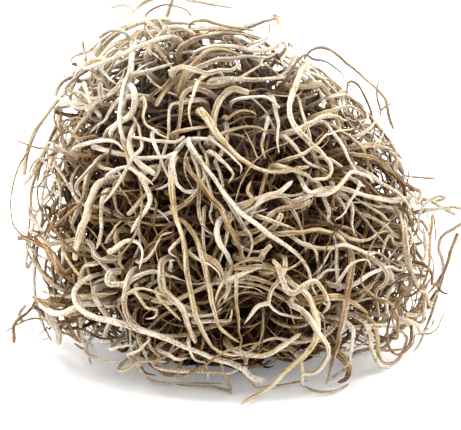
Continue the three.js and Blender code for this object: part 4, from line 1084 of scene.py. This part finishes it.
def thread_maker():
    """Turns polylines with a thickness into grooved, slightly twisted and lumpy threads."""
    group, tree, given = new_group("thread maker", (
        ("Ring spacing", "Float"), ("Sides", "Int"), ("Lump height", "Float")))

    def stored(geometry, name, value, kind="FLOAT"):
        return tree.value(
            "GeometryNodeStoreNamedAttribute", {"data_type": kind, "domain": "POINT"},
            {"Geometry": geometry, "Name": name, "Value": value})

    place = tree.value("GeometryNodeInputPosition")
    line = tree.value("GeometryNodeMeshToCurve", None, {"Mesh": given["Geometry"]})
    line = tree.value("GeometryNodeCurveSplineType", {"spline_type": "CATMULL_ROM"}, {"Curve": line})
    line = tree.value("GeometryNodeResampleCurve", {"mode": "LENGTH"},
                      {"Curve": line, "Length": given["Ring spacing"]})
    bends = tree.noise(place, WANDER_SCALE, 1.0, "Color")
    bends = tree.vector_math("SUBTRACT", bends, (0.5, 0.5, 0.5))
    line = tree.value("GeometryNodeSetPosition", None,
                      {"Geometry": line, "Offset": tree.scaled(bends, 2 * WANDER)})

    spot = tree.node("GeometryNodeSplineParameter")
    share, along = Value(tree, spot.outputs["Factor"]), Value(tree, spot.outputs["Length"])
    left = tree.value("GeometryNodeSplineLength") - along
    blunt = tree.named("blunt")
    tip = (left / TIP_LENGTH).within() ** 0.5
    taper = 1 - ((share - TAPER_FROM) / (1 - TAPER_FROM)).within() * TAPER * (1 - blunt)
    uneven = 1 + (tree.noise(place, UNEVEN_SCALE) - 0.5) * UNEVEN
    end = (tip + blunt * BLUNT_TIP * (1 - tip)).within(THINNEST_TIP)
    size = tree.named("thick") * SWELL * uneven * taper * end
    line = stored(line, "along", along)
    line = tree.value("GeometryNodeSetCurveTilt", None,
                      {"Curve": line, "Tilt": tree.named("turn") + along * TWIST})

    ring = tree.value("GeometryNodeCurvePrimitiveCircle", {"mode": "RADIUS"},
                      {"Resolution": given["Sides"], "Radius": 1.0})
    ring = stored(ring, "rim", place, "FLOAT_VECTOR")
    x, y, _ = tree.parts(place)
    ring = tree.value("GeometryNodeSetPosition", None, {
        "Geometry": ring,
        "Position": tree.vector(x * FLATNESS - x.within() ** GROOVE_SHARPNESS * GROOVE, y, 0.0)})
    body = tree.value("GeometryNodeCurveToMesh", None, {
        "Curve": line, "Profile Curve": ring, "Scale": size, "Fill Caps": True})
    lumps = (tree.noise(place, LUMP_SCALE) - 0.5) * 2 * given["Lump height"]
    body = tree.value("GeometryNodeSetPosition", None, {
        "Geometry": body, "Offset": tree.scaled(tree.value("GeometryNodeInputNormal"), lumps)})
    body = tree.value("GeometryNodeSetShadeSmooth", None, {"Geometry": body})
    end_tree(tree, body, given["Material"])
    return group


# ---- the pale scales that frost a thread ----
SCALE_RADIUS = 0.11 * MM
SCALE_HEIGHT = 0.12 * MM
SCALE_SIZES = {"Min": 0.6, "Max": 1.5}
SCALE_PATCHES = 350.0


def scale_maker():
    """Strews small pointed scales over the threads, mostly over the frosted ones."""
    group, tree, given = new_group("scale maker", (
        ("Scales in a square metre", "Float"), ("Seed", "Int")))
    patches = tree.noise(tree.value("GeometryNodeInputPosition"), SCALE_PATCHES).step(0.35, 0.65)
    spread = tree.node("GeometryNodeDistributePointsOnFaces", {"distribute_method": "RANDOM"}, {
        "Mesh": given["Geometry"], "Seed": given["Seed"],
        "Density": given["Scales in a square metre"] * tree.named("frost") * patches})
    flake = tree.value("GeometryNodeMeshCone", {"fill_type": "NGON"}, {
        "Vertices": 3, "Radius Bottom": SCALE_RADIUS, "Depth": SCALE_HEIGHT})
    size = tree.value("FunctionNodeRandomValue", {"data_type": "FLOAT"},
                      {**SCALE_SIZES, "Seed": given["Seed"]}, "Value")
    body = tree.value("GeometryNodeInstanceOnPoints", None, {
        "Points": Value(tree, spread.outputs["Points"]), "Instance": flake,
        "Rotation": Value(tree, spread.outputs["Rotation"]), "Scale": size})
    end_tree(tree, body, given["Material"])
    return group


def worked_out(piece, group, inputs):
    """Runs a node tree on a piece and leaves its result as a plain mesh."""
    modifier = piece.modifiers.new(group.name, "NODES")
    modifier.node_group = group
    for item in group.interface.items_tree:
        if item.in_out == "INPUT" and item.name in inputs:
            modifier[item.identifier] = inputs[item.name]
    graph = bpy.context.evaluated_depsgraph_get()
    mesh = bpy.data.meshes.new_from_object(piece.evaluated_get(graph), depsgraph=graph)
    piece.modifiers.clear()
    piece.data = mesh
    mesh.name = piece.name
    return piece


def added(name, mesh):
    piece = bpy.data.objects.new(name, mesh)
    bpy.context.scene.collection.objects.link(piece)
    return piece


# ---- finishes ----
def linear(red, green, blue):
    """A colour as the eye names it, as the light values that a shader takes."""
    return tuple(c / 12.92 if c <= 0.04045 else ((c + 0.055) / 1.055) ** 2.4
                 for c in (red, green, blue)) + (1.0,)


TONE_STOPS = [
    (0.0, linear(0.15, 0.06, 0.01)),
    (0.14, linear(0.25, 0.135, 0.04)),
    (0.32, linear(0.39, 0.265, 0.125)),
    (0.47, linear(0.5, 0.4, 0.235)),
    (0.6, linear(0.62, 0.525, 0.39)),
    (0.75, linear(0.705, 0.64, 0.55)),
    (0.9, linear(0.76, 0.72, 0.66)),
    (1.0, linear(0.82, 0.79, 0.74)),
]
FROST_COLOUR = linear(0.87, 0.835, 0.775)
LOW_WARMTH = linear(1.0, 0.985, 0.945)
ASHEN = linear(0.72, 0.71, 0.68)
PALING_HEIGHTS = (0.04, 0.07)  # the height over which the threads turn paler, in metres
ROSY = linear(1.0, 0.93, 0.9)
STRAWY = linear(1.0, 0.955, 0.8)
SILVERY = linear(0.72, 0.7, 0.68)
MOSSY = linear(0.97, 0.98, 0.88)
RUST = linear(0.46, 0.25, 0.14)
GOLD = linear(0.68, 0.55, 0.28)
GROOVE_SHADE_COLOUR = linear(0.3, 0.21, 0.12)


# How much each pattern lightens and darkens a thread, in tones: along it, over it, in grains and in
# fibres. Dark inner threads show only a part of that.
STREAKED, BLOTCHED, GRAINED, FIBROUS = 1.5, 0.5, 0.8, 1.6
CALM_SHARE = 0.4
CALM_TONES = (0.05, 0.4)
# How fine each pattern on the object is, as a noise scale for coordinates in metres.
BLOTCH_SCALE, PATCH_SCALE, RUST_SCALE, SPECK_SCALE, GRAIN_SCALE = 160.0, 230.0, 420.0, 2300.0, 3800.0
HEART_SCALE = 900.0
SCALE_PALENESS = 500.0


def new_finish(name):
    """An empty finish, as (material, its tree, its surface shader)."""
    material = bpy.data.materials.new(name)
    material.use_nodes = True
    tree = Tree(material.node_tree)
    surface = material.node_tree.nodes["Principled BSDF"]
    return material, tree, surface


def dress(tree, surface, colour, roughness, shine, bump=None):
    """Links a finish's colour and, where it has one, its bump as (strength, distance, height)."""
    tree.links.new(colour.socket, surface.inputs["Base Color"])
    surface.inputs["Roughness"].default_value = roughness
    surface.inputs["Specular IOR Level"].default_value = shine
    if bump:
        strength, distance, height = bump
        node = tree.node("ShaderNodeBump", None, {
            "Strength": strength, "Distance": distance, "Height": height})
        tree.links.new(node.outputs["Normal"], surface.inputs["Normal"])


def ramp(tree, value, stops):
    """A colour between the stops' own, by value."""
    node = tree.node("ShaderNodeValToRGB", None, {"Fac": value})
    for stop in stops[1:-1]:
        node.color_ramp.elements.new(stop[0])
    for element, (position, colour) in zip(node.color_ramp.elements, stops):
        element.position = position
        element.color = colour
    return Value(tree, node.outputs["Color"])


def thread_finish():
    """Dry frosted thread: streaked along its length, with painted shade in its groove, specked with pale
    scales.
    """
    material, tree, surface = new_finish("frosted moss thread")

    def attribute(name, output):
        return tree.value("ShaderNodeAttribute", {"attribute_name": name}, None, output)

    place = tree.object_place()
    tone, frost = attribute("tone", "Fac"), attribute("frost", "Fac")
    rim_x, rim_y, _ = tree.parts(attribute("rim", "Vector"))
    along = attribute("along", "Fac")
    nature = attribute("turn", "Fac") / (2 * math.pi)

    def lengthwise(around, apart, pace, scale, detail):
        """Noise that follows a thread, by how it changes round it, between threads and along it."""
        spot = tree.vector(rim_x * around + tone * apart, rim_y * around, along * pace)
        return tree.noise(spot, scale, detail)

    streaks = lengthwise(1.3, 40, 90, 1.6, 4.0)
    fibres = lengthwise(4, 70, 220, 1.4, 2.0)
    drift = lengthwise(0.8, 50, 60, 1.5, 3.0)
    blotches = tree.noise(place, BLOTCH_SCALE, 2.0)
    patches = tree.noise(place, PATCH_SCALE, 3.0)
    rusted = tree.noise(place, RUST_SCALE, 3.0).step(0.6, 0.7)
    specks = tree.noise(place, SPECK_SCALE, 3.0)
    grain = tree.noise(place, GRAIN_SCALE, 2.0)
    shade = ((streaks - 0.5) * STREAKED + (blotches - 0.5) * BLOTCHED
             + (grain - 0.5) * GRAINED + (fibres - 0.5) * FIBROUS)
    # Threads darkened inside the bunch, by browning and painted shade, keep calmer patterns, so that the
    # shade stays dark.
    shade = shade * (CALM_SHARE + tone.step(*CALM_TONES) * (1 - CALM_SHARE))
    _, _, height = tree.parts(place)
    # Higher threads are a little paler and greyer, lower ones warmer.
    paler_higher = (height + (blotches - 0.5) * 0.03).step(*PALING_HEIGHTS)
    colour = ramp(tree, tone + shade + paler_higher * 0.04, TONE_STOPS)
    colour = tree.mixed(colour, LOW_WARMTH, (1 - paler_higher) * 0.4, "MULTIPLY")
    colour = tree.mixed(colour, ASHEN, paler_higher * 0.12)
    colour = tree.mixed(colour, STRAWY, nature.step(0.6, 0.9) * 0.6, "MULTIPLY")
    colour = tree.mixed(colour, SILVERY, (1 - nature.step(0.1, 0.4)) * tone.step(0.3, 0.8) * 0.3)
    colour = tree.mixed(colour, ROSY, drift.step(0.52, 0.65) * 0.5, "MULTIPLY")
    colour = tree.mixed(colour, MOSSY, (1 - drift.step(0.35, 0.5)) * 0.6, "MULTIPLY")
    colour = tree.mixed(colour, GOLD, drift.step(0.48, 0.6) * patches.step(0.5, 0.6) * 0.6)
    colour = tree.mixed(colour, RUST, rusted * 0.55)
    # Painted shade: one side of the groove is darkened, in patches along the thread.
    groove = rim_x.step(0.72, 0.98) * streaks.step(0.3, 0.55) * 0.75
    colour = tree.mixed(colour, GROOVE_SHADE_COLOUR, groove * tone.step(0.3, 0.7))
    white = (specks + (blotches - 0.5) * 0.5 + frost * 0.16).step(0.58, 0.68) * frost * 0.8
    colour = tree.mixed(colour, FROST_COLOUR, white)
    dress(tree, surface, colour, 0.72, 0.3, (0.8, 0.15 * MM, specks + streaks * 0.6 + grain * 0.5))
    return material


def heart_finish():
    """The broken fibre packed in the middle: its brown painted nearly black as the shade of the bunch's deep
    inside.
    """
    material, tree, surface = new_finish("packed fibre in painted shade")
    place = tree.object_place()
    fibre = tree.noise(tree.vector_math("MULTIPLY", place, (1.0, 0.35, 0.6)), HEART_SCALE, 4.0)
    # Painted shade: the ramp runs to near black, darker than the fibre's own brown.
    colour = ramp(tree, fibre, [
        (0.35, linear(0.08, 0.035, 0.015)), (0.6, linear(0.18, 0.09, 0.04)),
        (0.8, linear(0.3, 0.19, 0.1))])
    dress(tree, surface, colour, 0.95, 0.1, (1.0, 0.8 * MM, fibre))
    return material


def scale_finish():
    """Silvery dry scales, paler where the plant dried slowly."""
    material, tree, surface = new_finish("silvery dry scale")
    place = tree.object_place()
    patches = tree.noise(place, SCALE_PALENESS, 2.0).step(0.35, 0.65)
    colour = tree.mixed(linear(0.66, 0.59, 0.48), linear(0.83, 0.79, 0.72), patches)
    dress(tree, surface, colour, 0.5, 0.5)
    return material


# ---- making the pieces ----
THREAD_SEEDS = 31  # from one thread of a piece to the next
TONE_SPREAD = 0.08
FROSTED = (0.2, 1.0)
BLUNT_ODDS = 0.18
FROST_FROM = 0.3  # the tone above which a thread is frosted, the more the paler it is
FROST_GAIN = 1.8
# A thread is darker where it runs inside the bunch: partly browner, partly painted shade. Both are shares of
# the shell's size.
HIDDEN = 0.69
OPEN = 0.9
# Painted shade under the crown: the darkening reaches further out at the top.
CROWN_PAINTED_SHADE = 0.19  # that much more of the shell is hidden at the top, where the light is strong
CROWN_OPEN = 0.03  # and a thread there has to lie that much further out to be in the open
INNER_BROWN_AND_SHADE = 0.12
OFF_FLOOR = 0.35  # keeps a wandering, lumpy thread from going under the floor, in millimetres


def thread_mesh(name, threads, seed):
    """The threads as polylines, in metres, with what the thread maker needs on each point."""
    points, edges = [], []
    columns = {key: [] for key in ("thick", "tone", "frost", "turn", "blunt")}
    for i, thread in enumerate(threads):
        draw = random_stream(seed + THREAD_SEEDS * i)
        path = np.array(thread["points"])
        path[:, 2] = np.maximum(path[:, 2], thread["radius"] + OFF_FLOOR)
        path = (path + FOOTPRINT_SHIFT) * MM
        first = len(points)
        points.extend(path.tolist())
        edges.extend((first + k, first + k + 1) for k in range(len(path) - 1))
        tone = thread["tone"] + between(draw, -TONE_SPREAD, TONE_SPREAD)
        frosted = between(draw, *FROSTED)
        turn = between(draw, 0, 2 * math.pi)
        blunt = 1.0 if draw() < BLUNT_ODDS else 0.0
        for point in thread["points"]:
            # Painted shade and browning: the tone falls deep inside the bunch, and further out under the
            # crown.
            rise = rise_share(point)
            hidden, free = HIDDEN + CROWN_PAINTED_SHADE * rise, OPEN + CROWN_OPEN * rise
            lit_share = min(max((shell_share(point) - hidden) / (free - hidden), 0.0), 1.0)
            seen = tone * (INNER_BROWN_AND_SHADE + (1 - INNER_BROWN_AND_SHADE) * lit_share)
            columns["tone"].append(seen)
            columns["frost"].append(min(max((seen - FROST_FROM) * FROST_GAIN, 0.0), 1.0) * frosted)
        columns["thick"].extend([thread["radius"] * MM] * len(path))
        columns["turn"].extend([turn] * len(path))
        columns["blunt"].extend([blunt] * len(path))
    mesh = bpy.data.meshes.new(name)
    mesh.from_pydata(points, edges, [])
    for key, column in columns.items():
        mesh.attributes.new(key, "FLOAT", "POINT").data.foreach_set("value", column)
    return mesh


THREAD_MAKER = thread_maker()
SCALE_MAKER = scale_maker()
THREAD_FINISH = thread_finish()
SCALE_FINISH = scale_finish()


def fineness(spacing, sides, lumps=0.07):
    """How finely threads are made: their rings' spacing, their sides and the height of their lumps."""
    return {"Ring spacing": spacing * MM, "Sides": sides, "Lump height": lumps * MM}


FINEST = fineness(0.62, 8)


def thread_piece(name, threads, slot, made=FINEST, replaced=()):
    piece = added(name, thread_mesh(name, threads, THREAD_SEED))
    worked_out(piece, THREAD_MAKER, {**made, "Material": THREAD_FINISH})
    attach(piece, "root")
    if replaced:
        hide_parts(*replaced)
    return piece


SCALE_DENSITY = 5e6  # in a square metre
SCALE_SEED = 60


def scale_piece(name, worn_by, seed):
    piece = added(name, worn_by.data.copy())
    worked_out(piece, SCALE_MAKER, {
        "Scales in a square metre": SCALE_DENSITY, "Seed": seed, "Material": SCALE_FINISH})
    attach(piece, "root")
    return piece


HEART_SHARE = 0.58
HEART_ROUGHNESS = 0.05
HEART_LOWEST = 0.3


def heart_piece():
    """The packed fibre in the middle, within the solid tangle's own core: a dark mass that also stands for
    the shade deep inside.
    """
    shape = bmesh.new()
    bmesh.ops.create_icosphere(shape, subdivisions=5, radius=1)
    for corner in shape.verts:
        x, y, z = corner.co
        waves = math.sin(x * 13 + z * 7) + math.sin(y * 11 - z * 9) + math.sin(x * 23 + y * 19)
        rough = 1 + HEART_ROUGHNESS * waves
        height = BELLY_HEIGHT + z * (RISE if z > 0 else DROP) * HEART_SHARE * rough
        corner.co = (Vector((
            x * HALF_WIDTH * HEART_SHARE * rough + crown_lean(height),
            y * HALF_DEPTH * HEART_SHARE * rough,
            max(height, HEART_LOWEST))) + Vector(FOOTPRINT_SHIFT)) * MM
    mesh = bpy.data.meshes.new("fibre_heart")
    shape.to_mesh(mesh)
    shape.free()
    mesh.materials.append(heart_finish())
    piece = added("fibre_heart", mesh)
    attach(piece, "root")
    return piece


# ---- floor, light and camera ----
FLOOR_GLOW = 0.13  # a lit table top, which keeps the bunch's shadow soft and pale
FLOOR_SIZE = 4
ROOM_LIGHT = 0.88
AIM = (0, 0, 0.03)
# Name, place in metres, size and power.
LAMPS = [
    ("overhead", (-0.1, -0.05, 0.5), 0.3, 3.2),
    ("front", (0.25, -0.5, 0.35), 0.4, 0.7),
    ("left", (-0.45, 0.12, 0.2), 0.3, 1.9),
    ("right", (0.45, 0.12, 0.2), 0.3, 3.2),
]


def studio():
    bpy.ops.mesh.primitive_plane_add(size=FLOOR_SIZE)
    floor = bpy.context.object
    floor.name = "floor"
    material, _, surface = new_finish("plain pale floor")
    surface.inputs["Base Color"].default_value = linear(0.97, 0.97, 0.97)
    surface.inputs["Roughness"].default_value = 0.9
    surface.inputs["Specular IOR Level"].default_value = 0.0
    surface.inputs["Emission Color"].default_value = (1.0, 1.0, 1.0, 1.0)
    surface.inputs["Emission Strength"].default_value = FLOOR_GLOW
    floor.data.materials.append(material)

    world = bpy.data.worlds.new("studio")
    bpy.context.scene.world = world
    world.use_nodes = True
    room = world.node_tree.nodes["Background"]
    room.inputs["Color"].default_value = (1, 1, 1, 1)
    room.inputs["Strength"].default_value = ROOM_LIGHT
    bpy.context.scene.view_settings.view_transform = "Standard"
    for name, place, size, power in LAMPS:
        light = bpy.data.lights.new(name, "AREA")
        light.size = size
        light.energy = power
        lamp = bpy.data.objects.new(name, light)
        lamp.location = place
        aim = Vector(AIM) - Vector(place)
        lamp.rotation_euler = aim.to_track_quat("-Z", "Y").to_euler()
        bpy.context.scene.collection.objects.link(lamp)


FRAME_WIDTH = 104.8  # of the view, on the drawing plane, in millimetres
FRAME_MIDDLE = -0.11
SENSOR_WIDTH = 36.0
NEAREST_SEEN = 0.01  # in metres


def front_camera():
    camera = bpy.data.cameras.new("camera")
    camera.sensor_width = SENSOR_WIDTH
    camera.lens = SENSOR_WIDTH * EYE_DISTANCE / FRAME_WIDTH
    camera.clip_start = NEAREST_SEEN
    eye = bpy.data.objects.new("camera", camera)
    middle = np.array([FRAME_MIDDLE, EYE_LEVEL * math.sin(VIEW_TILT), EYE_LEVEL * math.cos(VIEW_TILT)])
    towards = np.array([0, -math.cos(VIEW_TILT), math.sin(VIEW_TILT)])
    eye.location = Vector((middle + towards * EYE_DISTANCE + FOOTPRINT_SHIFT) * MM)
    eye.rotation_euler = (math.pi / 2 - VIEW_TILT, 0, 0)
    bpy.context.scene.collection.objects.link(eye)
    bpy.context.scene.camera = eye


# ---- the bunch ----
SLOTS = dict(cream="pale_thread", beige="pale_thread", tan="straw_thread", olive="olive_thread",
             bark="dark_thread")
# The pieces of the front's leading shoots: name, colours and whether they are frosted.
SHOOT_PIECES = [
    ("pale_leading_shoots", ("cream", "beige"), True),
    ("straw_leading_shoots", ("tan",), True),
    ("olive_leading_shoots", ("olive",), True),
    ("dark_crown_loop", ("bark",), False),
]
CURL_THINNING = 0.8  # a curl's solid has three sides and stands proud of the round thread
CURL_TONES = (0.4, 0.85)
WIRY_THINNING = 0.6  # for the curls that stand off the bunch as dry wires
WIRY_TONES = (0.3, 0.6)
WIRY_FROM = 1.0  # as a share of the shell
# The layers of filling threads: how they grow, how they are made, whether they keep off the drawn
# threads and whether they are frosted.
FILLER_LAYERS = [
    dict(name="tangle_outer_a", slot="pale_thread", made=fineness(0.8, 7), sparing=True, frosted=True,
         growth=dict(count=100, seed=9100, levels=(0.8, 1.0), thicks=(0.6, 1.15), tones=(0.45, 0.9),
                     lengths=(35, 75), tight=(0.08, 0.16))),
    dict(name="tangle_outer_b", slot="pale_thread", made=fineness(0.8, 7), sparing=True, frosted=True,
         growth=dict(count=100, seed=9200, levels=(0.8, 1.0), thicks=(0.6, 1.15), tones=(0.45, 0.9),
                     lengths=(35, 75), tight=(0.08, 0.16))),
    dict(name="tangle_middle", slot="straw_thread", made=fineness(1.0, 6), sparing=False, frosted=True,
         growth=dict(count=170, seed=9500, levels=(0.7, 0.9), thicks=(0.5, 1.1), tones=(0.25, 0.9),
                     lengths=(30, 70), tight=(0.09, 0.18))),
    dict(name="tangle_fine", slot="pale_thread", made=fineness(0.9, 5), sparing=True, frosted=True,
         growth=dict(count=190, seed=11200, levels=(0.84, 1.0), thicks=(0.35, 0.75), tones=(0.45, 0.95),
                     lengths=(25, 60), tight=(0.1, 0.22))),
    dict(name="tangle_wires", slot="dark_thread", made=fineness(1.1, 4), sparing=False, frosted=False,
         growth=dict(count=170, seed=9900, levels=(0.7, 1.0), thicks=(0.25, 0.55), tones=(0.0, 0.6),
                     lengths=(20, 50), tight=(0.1, 0.2))),
    # Inner threads: their dark tones are partly the browner colour of old inner threads, partly painted shade
    # of the bunch's inside.
    dict(name="tangle_inner", slot="dark_thread", made=fineness(1.5, 4, 0.04), sparing=False,
         frosted=False,
         growth=dict(count=340, seed=10300, levels=(0.56, 0.88), thicks=(0.5, 1.2), tones=(0.0, 0.4),
                     lengths=(30, 60), tight=(0.1, 0.2))),
]


def shoot_piece(name, chosen):
    threads = [dict(points=path, radius=radius, tone=TONES[colour])
               for _, colour, group in chosen for path, radius in group]
    return thread_piece(name, threads, SLOTS[chosen[0][1]], FINEST, [node for node, _, _ in chosen])


def curl_threads(curls):
    """The tangle's curls, thinner and browner where they stand off the bunch."""
    threads = []
    for i, (points, radius) in enumerate(curls):
        draw = random_stream(THREAD_SEED + i)
        wiry = max(shell_share(point) for point in points) > WIRY_FROM
        thinning, tones = (WIRY_THINNING, WIRY_TONES) if wiry else (CURL_THINNING, CURL_TONES)
        threads.append(dict(points=points, radius=radius * thinning, tone=between(draw, *tones)))
    return threads


def make_bunch():
    """Makes the pieces in turn, and gives each one that is to be frosted with scales."""
    shoots, placed = all_shoots()
    curls = curl_paths(shoots, placed)
    front_names = {plan["name"] for plan in FRONT_SHOOTS}
    front = [shoot for shoot in shoots if shoot[0] in front_names]
    for name, colours, frosted in SHOOT_PIECES:
        piece = shoot_piece(name, [shoot for shoot in front if shoot[1] in colours])
        if frosted:
            yield piece
    yield shoot_piece("round_shoots", [shoot for shoot in shoots if shoot[0] not in front_names])
    yield thread_piece("tangle_curls", curl_threads(curls), "pale_thread", FINEST, ["moss_tangle"])
    drawn = drawn_threads(placed)
    yield thread_piece("tangle_front", drawn, "pale_thread")
    seen = np.vstack([thread["points"] for thread in drawn] + [
        path for _, _, threads in front for path, _ in threads])
    for layer in FILLER_LAYERS:
        threads = filler_threads(**layer["growth"], drawn=seen if layer["sparing"] else FAR_OFF)
        piece = thread_piece(layer["name"], threads, layer["slot"], layer["made"])
        if layer["frosted"]:
            yield piece
    heart_piece()


studio()
front_camera()
for i, piece in enumerate(list(make_bunch())):
    scale_piece(piece.name + "_scales", piece, SCALE_SEED + i)
